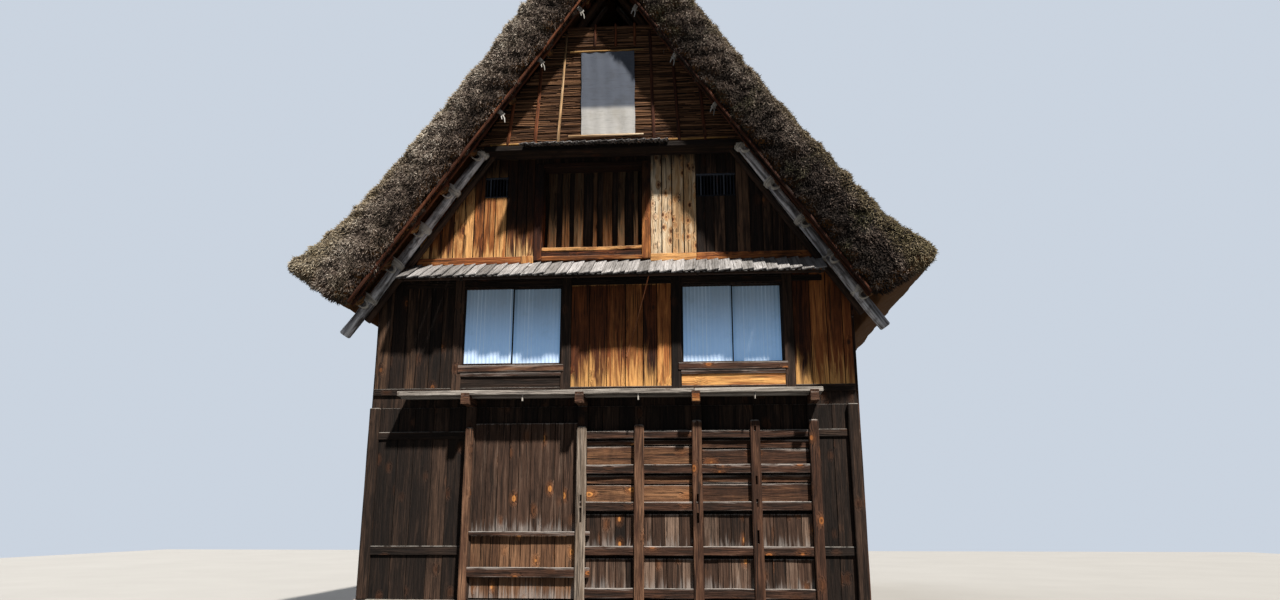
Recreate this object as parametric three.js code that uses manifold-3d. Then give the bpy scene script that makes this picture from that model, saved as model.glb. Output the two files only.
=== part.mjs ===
// Minka farmhouse with one steep thatched roof, in millimetres.
// Origin: centre of the house at ground level. X runs across the front, Y into the house, Z up.
import * as THREE from 'three';
import { mergeVertices } from 'three/addons/utils/BufferGeometryUtils.js';
import Module from 'manifold-3d';

const wasm = await Module();
wasm.setup();

// Driving dimensions of the body
const KEN = 1818;                     // traditional bay module
const HALF_WIDTH = 3930;              // centre line to the outside of a side wall
const HALF_DEPTH = 3.5 * KEN;         // centre to the outside of a gable wall, seven bays in all
const WALL = 90;                      // board wall with its framing
const BAY_SHIFT = 180;                // the front bays sit a little right of the ridge line
const HAIR = 0.5;                     // gap left between sloping faces that meet

// Heights above the ground
const STONE_TOP = 200;
const SILL_TOP = 420;
const FLOOR = 60;                     // thickness of each board floor
const SECOND_FLOOR = 3500;
const THIRD_FLOOR = 5800;
const ATTIC_FLOOR = 7720;
const ATTIC_WALL_TOP = 10020;
const ATTIC_JUT = 380;                // the attic wall stands this far out from the wall below

// Roof slope, as the centre line of the rafter poles
const PITCH = Math.atan(1.44);
const APEX = 10950;
const RAFTER_R = 95;
const PURLIN_R = 60;
const PURLIN_BITE = 15;               // how deep a purlin is seated in a rafter
const PURLIN_X = [430, 1050, 1680, 2330, 2800, 3270, 3700, 4120];
const RAFTER_FOOT_X = 4420;
const RAFTER_Y = [-HALF_DEPTH - 200, -3200, 0, 3200, HALF_DEPTH + 200];
const PURLIN_END = HALF_DEPTH + 535;

// Thatch and ridge
const THATCH_END = HALF_DEPTH + 1000;
const VERGE_DEPTH = 400;              // the thick edge of the thatch at a gable
const VERGE_APEX = 10900;             // where the two inner edges of that thick part would meet
const THATCH_SEAT = RAFTER_R + 2 * PURLIN_R - PURLIN_BITE + 0.2;   // rafter centre line to the thatch
const EAVE_UNDER = [[4060, 5050], [4280, 4975], [4590, 5160], [4850, 5330]];
const EAVE_TIP = [5217, 5620];
const THATCH_TOP = 11380;
const CAP_SEAT = 11140;               // height of the thatch under the edges of the ridge cap
const CAP_HALF = 820;
const CAP_OVERHANG = 150;
const CAP_EDGE_TOP = 11680;
const CAP_CREST = 12100;
const RIDGE_POLE_R = 50;
const RIDGE_POLE_STEP = 400;
const CREST_HALF = 100;               // half width of the worn flat crest
const RIDGE_POLE_OUT = 440;
const SADDLE_LOG_R = 90;
const SADDLE_LOG_X = 1330;
const SADDLE_LOGS = 10;
const SADDLE_LOG_STEP = 1550;
const SADDLE_LOG_SPREAD = 95;         // the two logs of a pair lie side by side where they cross

// Front openings and pieces, measured from the ridge line
const POST = 160;
const WINDOW_POSTS = [-2727, -909, 909, 2727].map((x) => x + BAY_SHIFT);
const WINDOWS = [[-2635, -1000], [1000, 2635]].map((w) => w.map((x) => x + BAY_SHIFT));
const WINDOW_Z = [4100, 5400];
const SASH = 32;                      // thickness of one sliding sash
const SASH_BAR = 38;
const SHEET = 12;                     // thickness of the sheet in a sash
const BEAM_X = [-2238, -420, 1398, 3216];
const SCREEN_X = [-420, 489, 1398, 2307, 3216];   // posts of the snow screen, half a bay apart
const SCREEN_TOP = [3060, 3080, 3145, 3140, 3140];
const SCREEN_END = -2238;             // the screen's wide bay ends at a slimmer post
const BEAM_HALF = 65;
const BEAM_Z = [3390, 3560];          // the beams lie level with the top of the second floor
const BEAM_PROUD = 30;                // how far their ends stand out of the ledge
const LEDGE = [3350, 500, 100];       // half length, reach and thickness
const PENT_X = [-3430, 3475];
const PENT_REACH = 700;
const RECESS = [-1250, 600];          // centre lines of the posts beside the recess
const RECESS_DEPTH = 330;
const RECESS_RIM = [230, 80];         // timber under and over the recess
const VENTS = [[-2200, -1800, 7020, 7400], [1450, 2120, 6940, 7360]];
const ATTIC_OPENING = [-400, 350, 8050, 9400];
const ATTIC_POLES = [[-1750, -1660, 8630], [-1270, -1200, 9280], [-880, -760, 9900], [760, 690, 9900],
  [1190, 1090, 9300], [1630, 1540, 8800]];
const ATTIC_POLE_R = 28;
const ATTIC_POLE_IN = 15;             // how far in front of the reeds the poles' centre lines lie
const CLOTH = [-485, 435, 7950, 9500];
const ROD_R = 18;
const DOORWAY = [BEAM_X[1] + POST / 2, BEAM_X[2] - POST / 2, SILL_TOP, 2380];
const SIDE_WINDOW = [-820, 820, 1500, 2800];

// Colours read off the real finishes
const PAINTS = {
  stone: [0x77736b, 0.95], darkWood: [0x3a2820, 0.85], brownWood: [0x6b4327, 0.8],
  orangeWood: [0x9a6032, 0.75], greyWood: [0x8b8680, 0.85], paleWood: [0xb5a68f, 0.8],
  sheet: [0xb9c6d6, 0.45], thatch: [0x77705f, 1.0], reed: [0x8a6f4d, 0.95],
  cap: [0x9b8b6b, 0.95], cloth: [0xc9c8c2, 0.95],
};

const house = new THREE.Group();

// Solid tools

function solid(geometry) {
  const bare = geometry.index ? geometry.toNonIndexed() : geometry.clone();
  bare.deleteAttribute('normal');
  bare.deleteAttribute('uv');
  const merged = mergeVertices(bare, 0.01);
  const vertProperties = new Float32Array(merged.attributes.position.array);
  const triVerts = new Uint32Array(merged.index.array);
  return new wasm.Manifold(new wasm.Mesh({ numProp: 3, vertProperties, triVerts }));
}

function join(solids) {
  return solids.reduce((sum, next) => sum.add(next));
}

function box(x0, x1, y0, y1, z0, z1) {
  const unit = new THREE.BoxGeometry(1, 1, 1).translate(0.5, 0.5, 0.5);
  return solid(unit.scale(x1 - x0, y1 - y0, z1 - z0).translate(x0, y0, z0));
}

// A prism whose outline is drawn in X and Z and which runs along Y
function prism(outline, y0, y1) {
  const shape = new THREE.Shape(outline.map(([x, z]) => new THREE.Vector2(x, z)));
  const geometry = new THREE.ExtrudeGeometry(shape, { depth: y1 - y0, bevelEnabled: false });
  return solid(geometry.rotateX(Math.PI / 2).translate(0, y1, 0));
}

// A round bar with few sides between two points
function bar(from, to, radius, sides = 8) {
  const a = new THREE.Vector3(...from);
  const b = new THREE.Vector3(...to);
  const geometry = new THREE.CylinderGeometry(radius, radius, a.distanceTo(b), sides);
  const turn = new THREE.Quaternion();
  turn.setFromUnitVectors(new THREE.Vector3(0, 1, 0), b.clone().sub(a).normalize());
  geometry.applyQuaternion(turn);
  const middle = a.add(b).multiplyScalar(0.5);
  return solid(geometry.translate(middle.x, middle.y, middle.z));
}

function place(name, body, paint) {
  const mesh = body.getMesh();
  const geometry = new THREE.BufferGeometry();
  geometry.setAttribute('position', new THREE.BufferAttribute(mesh.vertProperties, 3));
  geometry.setIndex(new THREE.BufferAttribute(mesh.triVerts, 1));
  geometry.computeVertexNormals();
  const [color, roughness] = PAINTS[paint];
  const material = new THREE.MeshStandardMaterial({ color, roughness, metalness: 0 });
  const part = new THREE.Mesh(geometry, material);
  part.name = name;
  house.add(part);
}

// Roof line: height of the rafter centre line, moved outwards by a distance square to the slope
function roofZ(x, offset = 0) {
  return APEX + offset / Math.cos(PITCH) - Math.abs(x) * Math.tan(PITCH);
}

function roofX(z, offset = 0) {
  return (APEX + offset / Math.cos(PITCH) - z) / Math.tan(PITCH);
}

// A gable piece stands between two distances outside the gable wall's face
function facing(side, near, far) {
  const y = [side * (HALF_DEPTH + near), side * (HALF_DEPTH + far)];
  return [Math.min(...y), Math.max(...y)];
}

function gableBox(side, x0, x1, near, far, z0, z1) {
  return box(x0, x1, ...facing(side, near, far), z0, z1);
}

// A wall outline between two heights, as wide as the roof leaves room for
function gableOutline(z0, z1) {
  const offset = RAFTER_R - PURLIN_BITE - HAIR;
  const halfAt = (z) => Math.min(HALF_WIDTH, roofX(z, offset));
  const bend = roofZ(HALF_WIDTH, offset);
  const right = [[halfAt(z0), z0]];
  if (bend > z0 && bend < z1) {
    right.push([HALF_WIDTH, bend]);
  }
  right.push([halfAt(z1), z1]);
  const left = right.map(([x, z]) => [-x, z]).reverse();
  return [...right, ...left];
}

// Base: a ring of stones and a ring of sill timbers
function ring(halfX, halfY, width, z0, z1) {
  const outer = box(-halfX, halfX, -halfY, halfY, z0, z1);
  return outer.subtract(box(width - halfX, halfX - width, width - halfY, halfY - width, z0 - 1, z1 + 1));
}

place('foundation_stones', ring(HALF_WIDTH + 80, HALF_DEPTH + 105, 400, 0, STONE_TOP), 'stone');
place('sill_frame', ring(HALF_WIDTH + 60, HALF_DEPTH + 100, 280, STONE_TOP, SILL_TOP), 'darkWood');

// Floors
const insideX = HALF_WIDTH - WALL;
const insideY = HALF_DEPTH - WALL;
place('ground_floor', box(-insideX, insideX, -insideY, insideY, SILL_TOP, SILL_TOP + FLOOR), 'brownWood');

function beams(reach) {
  return join(BEAM_X.map((x) => box(x - BEAM_HALF, x + BEAM_HALF, -reach, reach, ...BEAM_Z)));
}

function secondFloor() {
  const boards = box(-insideX, insideX, -insideY, insideY, SECOND_FLOOR, SECOND_FLOOR + FLOOR);
  return boards.add(beams(HALF_DEPTH + LEDGE[1] + BEAM_PROUD));
}

// An upper floor reaches the rafters and rests on the gable walls, with a collar beam at each rafter
function upperFloor(level, reach) {
  const halfX = Math.floor(roofX(level + FLOOR, -RAFTER_R) - HAIR);
  const boards = box(-halfX, halfX, -reach, reach, level, level + FLOOR);
  const collars = RAFTER_Y.slice(1, -1).map((y) => box(-halfX, halfX, y - 80, y + 80, level - 150, level));
  return join([boards, ...collars]);
}

place('second_floor', secondFloor(), 'darkWood');
place('third_floor', upperFloor(THIRD_FLOOR, HALF_DEPTH), 'darkWood');
place('attic_floor', upperFloor(ATTIC_FLOOR, HALF_DEPTH + ATTIC_JUT), 'darkWood');

// Ground storey of a gable: board wall notched over the floor beams
const BEAM_ROOM = beams(HALF_DEPTH + 1000);

function lowerWall(side, x0, x1, z0) {
  return gableBox(side, x0, x1, -WALL, 0, z0, BEAM_Z[1]).subtract(BEAM_ROOM);
}

// Main posts stand proud of the boards, with rails between them
const POST_PROUD = 110;               // far enough for the sill to carry them
const RAIL_PROUD = 55;
const WALL_RAILS = [[1080, 1220], [2880, 3000]];
const MAIN_POSTS = [POST / 2 - HALF_WIDTH, ...BEAM_X, HALF_WIDTH - POST / 2];

function wallFrame(side, postX, x0, x1) {
  const half = POST / 2;
  const posts = postX.map((x) => gableBox(side, x - half, x + half, 0, POST_PROUD, SILL_TOP, BEAM_Z[0]));
  const rails = WALL_RAILS.map(([z0, z1]) => gableBox(side, x0, x1, 0, RAIL_PROUD, z0, z1));
  return join([...posts, ...rails]);
}

place('front_wall_lower', lowerWall(-1, -HALF_WIDTH, HALF_WIDTH, SILL_TOP), 'darkWood');
place('front_wall_frame', wallFrame(-1, MAIN_POSTS, -HALF_WIDTH, HALF_WIDTH), 'darkWood');

// A screen against snow stands on the ground in front of the main posts: half-bay posts with five
// rails on the right, and one wide bay on the left whose two rails run through the first post
const SCREEN_POST = [POST_PROUD, POST_PROUD + 85];
const SCREEN_RAIL = [POST_PROUD + 10, POST_PROUD + 55];
const SCREEN_HALF = 77;
const SCREEN_RAILS = [[466, 614], [1087, 1225], [1748, 1886], [2319, 2457], [2862, 2980]];
const WIDE_RAILS = [[762, 910], [1378, 1442]];
const TENON = 70;

function screen() {
  const post = (x, half, top) => gableBox(-1, x - half, x + half, ...SCREEN_POST, 0, top);
  const posts = SCREEN_X.map((x, i) => post(x, SCREEN_HALF, SCREEN_TOP[i]));
  const [first, last] = [SCREEN_X[0] - SCREEN_HALF, SCREEN_X[4] + SCREEN_HALF];
  const rails = SCREEN_RAILS.map((z) => gableBox(-1, first, last, ...SCREEN_RAIL, ...z));
  const tenonEnd = SCREEN_X[0] + SCREEN_HALF + TENON;
  const wide = WIDE_RAILS.map((z) => gableBox(-1, SCREEN_END - 60, tenonEnd, ...SCREEN_RAIL, ...z));
  return join([...posts, post(SCREEN_END, 60, SCREEN_TOP[0]), ...rails, ...wide]);
}

place('front_lattice', screen(), 'brownWood');

// Rear ground storey: the same boards, in three parts around an entrance between two posts
place('rear_wall_left', lowerWall(1, -HALF_WIDTH, DOORWAY[0], SILL_TOP), 'darkWood');
place('rear_wall_right', lowerWall(1, DOORWAY[1], HALF_WIDTH, SILL_TOP), 'darkWood');
place('rear_wall_over_door', lowerWall(1, DOORWAY[0], DOORWAY[1], DOORWAY[3]), 'darkWood');

// The lintel hangs from the rail above it by one short strut
function doorLintel() {
  const [x0, x1, , head] = DOORWAY;
  const middle = (x0 + x1) / 2;
  const lintel = gableBox(1, x0, x1, 0, RAIL_PROUD, head, head + 140);
  const strut = gableBox(1, middle - 50, middle + 50, 0, RAIL_PROUD, head, WALL_RAILS[1][1]);
  return join([lintel, strut, gableBox(1, x0, x1, 0, RAIL_PROUD, ...WALL_RAILS[1])]);
}

place('rear_frame_left', wallFrame(1, MAIN_POSTS.slice(0, 3), -HALF_WIDTH, DOORWAY[0]), 'brownWood');
place('rear_frame_right', wallFrame(1, MAIN_POSTS.slice(3), DOORWAY[1], HALF_WIDTH), 'brownWood');
place('rear_door_lintel', doorLintel(), 'brownWood');

// Two plank doors on their tracks in the wall's thickness, the inner one slid behind the outer
const doorX = [DOORWAY[0] + 5, (DOORWAY[0] + DOORWAY[1]) / 2 + 25];
place('entrance_door_outer', gableBox(1, ...doorX, -40, -10, DOORWAY[2], DOORWAY[3]), 'brownWood');
place('entrance_door_inner', gableBox(1, doorX[0] + 45, doorX[1] + 45, -80, -50, DOORWAY[2], DOORWAY[3]),
  'brownWood');

// Side walls with a post at each bay, a window in the middle and a plate that takes the rafters
const PLATE_OUT = HALF_WIDTH + 50;
const PLATE_TOP = Math.floor(roofZ(PLATE_OUT, -RAFTER_R) - 2 * HAIR);
const PLATE = [240, 220];

function sideWall(side) {
  const x = [side * HALF_WIDTH, side * insideX].sort((a, b) => a - b);
  const wall = box(...x, -insideY, insideY, SILL_TOP, PLATE_TOP - PLATE[1]);
  const cut = box(x[0] - 1, x[1] + 1, ...SIDE_WINDOW);
  return wall.subtract(cut);
}

function sideFrame(side) {
  const band = (out, y0, y1, z0, z1) => {
    const x = [side * HALF_WIDTH, side * (HALF_WIDTH + out)].sort((a, b) => a - b);
    return box(...x, y0, y1, z0, z1);
  };
  const top = PLATE_TOP - PLATE[1];
  const posts = [-3.5, -2.5, -1.5, -0.5, 0.5, 1.5, 2.5, 3.5].map((bay) => {
    const y = Math.max(-insideY + 80, Math.min(insideY - 80, bay * KEN));
    return band(50, y - 80, y + 80, SILL_TOP, top);
  });
  const rails = WALL_RAILS.map(([z0, z1]) => band(40, -insideY, insideY, z0, z1));
  const plateX = [side * (PLATE_OUT - PLATE[0]), side * PLATE_OUT].sort((a, b) => a - b);
  const plate = box(...plateX, -insideY, insideY, top, PLATE_TOP);
  return join([...posts, ...rails, plate]);
}

function sashPair(along, across, z0, z1, turned) {
  const middle = (along[0] + along[1]) / 2;
  const lap = SASH_BAR / 2;
  const one = (a0, a1, depth) => {
    const piece = (p0, p1, q0, q1, thin) => {
      const inset = thin ? (SASH - SHEET) / 2 : 0;
      const d = [across + depth + inset, across + depth + SASH - inset];
      return turned ? box(...d, p0, p1, q0, q1) : box(p0, p1, ...d, q0, q1);
    };
    const bars = [piece(a0, a0 + SASH_BAR, z0, z1), piece(a1 - SASH_BAR, a1, z0, z1),
      piece(a0, a1, z0, z0 + SASH_BAR), piece(a0, a1, z1 - SASH_BAR, z1)];
    return join([...bars, piece(a0, a1, z0, z1, true)]);
  };
  return [one(along[0], middle + lap, 0), one(middle - lap, along[1], SASH)];
}

for (const [name, side] of [['left', -1], ['right', 1]]) {
  place(`${name}_wall`, sideWall(side), 'darkWood');
  place(`${name}_wall_frame`, sideFrame(side), 'brownWood');
  const inner = side * (HALF_WIDTH - 45) - SASH;
  const pair = sashPair(SIDE_WINDOW.slice(0, 2), inner, SIDE_WINDOW[2], SIDE_WINDOW[3], true);
  place(`${name}_window_pair`, join(pair), 'sheet');
}

// Window storey
const WINDOW_HEAD = [5420, 5520];
const WINDOW_SILL = [3970, 4080];

function windowWall(side) {
  const wall = prism(gableOutline(BEAM_Z[1], THIRD_FLOOR), ...facing(side, -WALL, 0));
  const holes = WINDOWS.map(([x0, x1]) => gableBox(side, x0, x1, -WALL - 1, 1, ...WINDOW_Z));
  return wall.subtract(join(holes));
}

function windowFrame(side) {
  const base = SECOND_FLOOR + LEDGE[2];
  const posts = WINDOW_POSTS.map((x) => gableBox(side, x - POST / 2, x + POST / 2, 0, 45, base, 5600));
  const head = gableBox(side, -3480, 3480, 0, 35, ...WINDOW_HEAD);
  const foot = gableBox(side, -HALF_WIDTH, HALF_WIDTH, 0, 35, base, base + 110);
  const sills = WINDOWS.map(([x0, x1]) => gableBox(side, x0 - 60, x1 + 60, 0, 65, ...WINDOW_SILL));
  return join([...posts, head, foot, ...sills]);
}

function ledge(side) {
  const [half, reach, thick] = LEDGE;
  return gableBox(side, -half, half, 0, reach, SECOND_FLOOR, SECOND_FLOOR + thick).subtract(BEAM_ROOM);
}

// A sloping pent roof board between two distances outside the gable face
function pent(side, x0, x1, [near, zNear], [far, zFar], thick) {
  const outline = [[near, zNear], [far, zFar], [far, zFar - thick], [near, zNear - thick]];
  const turned = outline.map(([d, z]) => new THREE.Vector2(side * (HALF_DEPTH + d), z));
  const shape = new THREE.Shape(turned);
  const geometry = new THREE.ExtrudeGeometry(shape, { depth: x1 - x0, bevelEnabled: false });
  const upright = new THREE.Matrix4().makeBasis(new THREE.Vector3(0, 1, 0), new THREE.Vector3(0, 0, 1),
    new THREE.Vector3(1, 0, 0));
  return solid(geometry.applyMatrix4(upright).translate(x0, 0, 0));
}

// Third storey: boards beside a recess that holds a panel of slats
const RECESS_Z = [THIRD_FLOOR + FLOOR, 7620];
const RECESS_ROOM_Z = [RECESS_Z[0] + RECESS_RIM[0], RECESS_Z[1] - RECESS_RIM[1]];

function thirdWall(side) {
  const wall = prism(gableOutline(THIRD_FLOOR + FLOOR, ATTIC_FLOOR), ...facing(side, -WALL, 0));
  const rail = gableBox(side, -3330, 3330, 0, 40, THIRD_FLOOR + FLOOR, THIRD_FLOOR + FLOOR + 80);
  const hole = gableBox(side, RECESS[0] - 70, RECESS[1] + 70, -WALL - 1, 60, ...RECESS_Z);
  const vents = VENTS.map(([x0, x1, z0, z1]) => gableBox(side, x0, x1, -WALL - 1, 1, z0, z1));
  return wall.add(rail).subtract(join([hole, ...vents]));
}

function recessFrame(side) {
  const [x0, x1] = [RECESS[0] - 70, RECESS[1] + 70];
  const block = gableBox(side, x0, x1, -RECESS_DEPTH, 50, ...RECESS_Z);
  const room = gableBox(side, x0 + 140, x1 - 140, -RECESS_DEPTH - 1, 51, ...RECESS_ROOM_Z);
  return block.subtract(room);
}

function slatPanel(side) {
  const [x0, x1] = [RECESS[0] + 70, RECESS[1] - 70];
  return gableBox(side, x0, x1, -290, -260, ...RECESS_ROOM_Z);
}

// Upper pent roof hung from the beam under the attic wall
function upperPent(side) {
  const [high, low] = [[ATTIC_JUT + 60, ATTIC_FLOOR + 70], [ATTIC_JUT + 430, ATTIC_FLOOR - 60]];
  const roof = pent(side, -1460, 1010, high, low, 45);
  const beam = gableBox(side, -2130, 2130, ATTIC_JUT, ATTIC_JUT + 80, ATTIC_FLOOR - 30, ATTIC_FLOOR + FLOOR);
  return join([roof, beam]);
}

// Attic wall of reed bundles held by upright poles
function atticWall(side, withOpening) {
  const base = ATTIC_FLOOR + FLOOR;
  const face = ATTIC_JUT;
  const poleY = side * (HALF_DEPTH + face + ATTIC_POLE_IN);
  const poles = ATTIC_POLES.map(([foot, head, top]) => bar([foot, poleY, base + 5], [head, poleY, top],
    ATTIC_POLE_R, 6));
  const wall = prism(gableOutline(base, ATTIC_WALL_TOP), ...facing(side, face - 80, face));
  const whole = join([wall, ...poles]);
  if (!withOpening) {
    return whole;
  }
  const [x0, x1, z0, z1] = ATTIC_OPENING;
  return whole.subtract(gableBox(side, x0, x1, face - 81, face + 1, z0, z1));
}

for (const [name, side] of [['front', -1], ['rear', 1]]) {
  place(`${name}_ledge`, ledge(side), 'greyWood');
  place(`${name}_wall_windows`, windowWall(side), 'orangeWood');
  place(`${name}_window_frame`, windowFrame(side), 'darkWood');
  const near = facing(side, -80, -16)[0];
  const sashes = WINDOWS.map((w) => sashPair(w, near, ...WINDOW_Z, false));
  if (side < 0) {
    sashes.flat().forEach((sash, i) => place(`front_sash_${i + 1}`, sash, 'sheet'));
  } else {
    place('rear_window_left', join(sashes[0]), 'sheet');
    place('rear_window_right', join(sashes[1]), 'sheet');
  }
  place(`${name}_lower_pent`, pent(side, ...PENT_X, [0, 5820], [PENT_REACH, 5430], 50), 'greyWood');
  place(`${name}_wall_third`, thirdWall(side), 'orangeWood');
  place(`${name}_recess_frame`, recessFrame(side), 'brownWood');
  place(`${name}_slat_panel`, slatPanel(side), 'darkWood');
  place(`${name}_upper_pent`, upperPent(side), 'greyWood');
  place(`${name}_attic_wall`, atticWall(side, side < 0), 'reed');
}

// Cloth hung before the attic opening between two rods
const polesFront = HALF_DEPTH + ATTIC_JUT + ATTIC_POLE_IN + ATTIC_POLE_R;
const rodY = -(polesFront + HAIR + ROD_R * Math.cos(Math.PI / 6));
for (const [name, z] of [['top', CLOTH[3] + ROD_R + HAIR], ['bottom', CLOTH[2] - ROD_R - HAIR]]) {
  place(`cloth_rod_${name}`, bar([-900, rodY, z], [790, rodY, z], ROD_R, 6), 'paleWood');
}
place('hanging_cloth', box(CLOTH[0], CLOTH[1], rodY - 4, rodY + 4, CLOTH[2], CLOTH[3]), 'cloth');

// Roof frame: rafter poles with purlins lying on them
function roofFrame(side) {
  const gap = HAIR / 2;
  const rafters = RAFTER_Y.map((y) => bar([side * -300, y, roofZ(0) + 300 * Math.tan(PITCH)],
    [side * RAFTER_FOOT_X, y, roofZ(RAFTER_FOOT_X)], RAFTER_R));
  const lift = RAFTER_R + PURLIN_R - PURLIN_BITE;
  const purlins = PURLIN_X.map((x) => bar([side * x, -PURLIN_END, roofZ(x, lift)],
    [side * x, PURLIN_END, roofZ(x, lift)], PURLIN_R, 6));
  const half = side > 0 ? box(gap, 6000, -9000, 9000, 0, 14000) : box(-6000, -gap, -9000, 9000, 0, 14000);
  return join([...rafters, ...purlins]).intersect(half);
}

// Thatch: one half of the section, running the whole length with a thick edge at each gable
function outerThatch() {
  return [[CAP_HALF, CAP_SEAT], [1500, 10100], [2500, 8660], [3400, 7480], [4250, 6420], [4850, 5870]];
}

function thatch(side) {
  const section = [[HAIR / 2, VERGE_APEX], ...EAVE_UNDER, EAVE_TIP, ...outerThatch().reverse(),
    [HAIR / 2, THATCH_TOP]].map(([x, z]) => [side * x, z]);
  const slab = prism(section, -THATCH_END, THATCH_END);
  const room = [[0, VERGE_APEX - 500], [0, CAP_SEAT], [roofX(CAP_SEAT, THATCH_SEAT), CAP_SEAT],
    [5000, roofZ(5000, THATCH_SEAT)], [5000, roofZ(5000, THATCH_SEAT) - 1500]].map(([x, z]) => [side * x, z]);
  const reach = THATCH_END - VERGE_DEPTH;
  return slab.subtract(prism(room, -reach, reach));
}

place('roof_frame_left', roofFrame(-1), 'paleWood');
place('roof_frame_right', roofFrame(1), 'paleWood');
place('thatch_left', thatch(-1), 'thatch');
place('thatch_right', thatch(1), 'thatch');

// Ridge: a thick saddle of laid straw, long poles on it and pairs of logs that hold them down
const CAP_SLOPE = (CAP_CREST - CAP_EDGE_TOP) / CAP_HALF;
const CREST_TOP = CAP_CREST - CREST_HALF * CAP_SLOPE;

function ridgeCap() {
  const right = [[CAP_HALF, CAP_SEAT + HAIR], [CAP_HALF + 30, 11400], [CAP_HALF, CAP_EDGE_TOP],
    [CREST_HALF, CREST_TOP]];
  const left = right.map(([x, z]) => [-x, z]).reverse();
  const reach = THATCH_END + CAP_OVERHANG;
  return prism([[0, THATCH_TOP + HAIR], ...right, ...left], -reach, reach);
}

const poleReach = THATCH_END + CAP_OVERHANG + RIDGE_POLE_OUT;

function ridgePole(x, z) {
  return bar([x, -poleReach, z], [x, poleReach, z], RIDGE_POLE_R, 6);
}

// One slope of the ridge: two long poles and the logs that are let into them
function ridgeLogs(side) {
  const lean = Math.atan(CAP_SLOPE);
  const above = (x, offset) => CAP_CREST + offset / Math.cos(lean) - Math.abs(x) * CAP_SLOPE;
  const rest = RIDGE_POLE_R * Math.cos(lean) + HAIR;
  const poles = [1, 2].map((n) => ridgePole(side * n * RIDGE_POLE_STEP, above(n * RIDGE_POLE_STEP, rest)));
  const lift = RIDGE_POLE_R + SADDLE_LOG_R;
  const logs = Array.from({ length: SADDLE_LOGS }, (_, n) => {
    const y = (n - (SADDLE_LOGS - 1) / 2) * SADDLE_LOG_STEP + side * SADDLE_LOG_SPREAD;
    return bar([side * -160, y, above(0, lift) + 160 * CAP_SLOPE],
      [side * SADDLE_LOG_X, y, above(SADDLE_LOG_X, lift)], SADDLE_LOG_R, 6);
  });
  return join([...poles, ...logs]);
}

place('ridge_cap', ridgeCap(), 'cap');
place('ridge_pole', ridgePole(0, CREST_TOP + RIDGE_POLE_R + HAIR), 'greyWood');
place('ridge_logs_left', ridgeLogs(-1), 'greyWood');
place('ridge_logs_right', ridgeLogs(1), 'greyWood');

export default house;
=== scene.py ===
# %% [markdown]
# A minka farmhouse under one steep thatched roof, dressed for its portrait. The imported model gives
# every wall, floor, timber and slope as a plain solid, in metres. This script keeps those solids as
# the frame of the work and lays the real surfaces over them: boards, posts, reeds, rope and straw.
# Nothing here moves a solid. Where a solid is too plain to show, a detailed piece stands in its place.

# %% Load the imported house
import math
import random

import bmesh
import bpy
from mathutils import Matrix, Vector, noise


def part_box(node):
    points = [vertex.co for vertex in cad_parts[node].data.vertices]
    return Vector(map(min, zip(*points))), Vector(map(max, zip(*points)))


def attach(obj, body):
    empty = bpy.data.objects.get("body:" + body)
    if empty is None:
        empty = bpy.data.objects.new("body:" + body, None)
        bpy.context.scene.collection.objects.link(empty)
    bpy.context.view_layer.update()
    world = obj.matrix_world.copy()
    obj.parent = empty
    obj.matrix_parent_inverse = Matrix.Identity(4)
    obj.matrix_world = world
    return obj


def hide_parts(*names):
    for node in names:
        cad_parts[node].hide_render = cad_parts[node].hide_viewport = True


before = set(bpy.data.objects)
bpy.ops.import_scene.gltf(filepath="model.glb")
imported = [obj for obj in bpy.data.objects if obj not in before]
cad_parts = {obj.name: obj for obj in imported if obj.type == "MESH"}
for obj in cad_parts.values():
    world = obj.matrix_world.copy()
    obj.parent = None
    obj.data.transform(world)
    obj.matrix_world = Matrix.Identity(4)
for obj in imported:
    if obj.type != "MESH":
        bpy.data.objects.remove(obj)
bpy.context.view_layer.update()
scene = bpy.context.scene

# %% [markdown]
# The camera comes first, because everything else is judged through it. It stands on the ground in
# front of the gable, a little to the right of the ridge line, and looks up. Its place and its lens
# were fitted to the posts of the front wall, whose spacing is known: half a bay is 0.909 metres.

# %% Camera
EYE = Vector((1.59, -20.283, 1.6))
LOOK_UP = math.radians(14.27)
LOOK_LEFT = math.radians(4.51)
FOCAL_PIXELS = 868.8
IMAGE_WIDTH = 1280
SENSOR_WIDTH = 36

lens = bpy.data.cameras.new("camera")
lens.sensor_width = SENSOR_WIDTH
lens.lens = FOCAL_PIXELS * SENSOR_WIDTH / IMAGE_WIDTH
camera = bpy.data.objects.new("camera", lens)
camera.location = EYE
camera.rotation_euler = (math.pi / 2 + LOOK_UP, 0, LOOK_LEFT)
scene.collection.objects.link(camera)
scene.camera = camera
print("lens", round(lens.lens, 2), "mm, eye at", tuple(EYE))

# %% [markdown]
# The house stands in the open, so one sun lamp from the front right does most of the work. It is
# soft enough for the edge of the roof's shadow to blur over a hand's width. A second, very broad lamp
# lights the back, and a pale, slightly cool surround fills the shade faintly. The floor looks pale to
# the camera, but it throws back only as much light as dark gravel, so that it stays dark under eaves.

# %% Sun, surround and floor
SUN_FROM = Vector((0.67, -1.0, 1.68))
SUN_POWER = 7.0
SUN_SPREAD = 2.6
SUN_COLOUR = (1.0, 0.95, 0.87)
REAR_FROM = Vector((-0.8, 1.0, 0.9))
REAR_POWER = 1.7
REAR_SPREAD = 50.0
REAR_COLOUR = (0.93, 0.96, 1.0)
SURROUND = (0.74, 0.82, 0.93, 1.0)
FILL = 0.2
BACKDROP = 0.8


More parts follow.
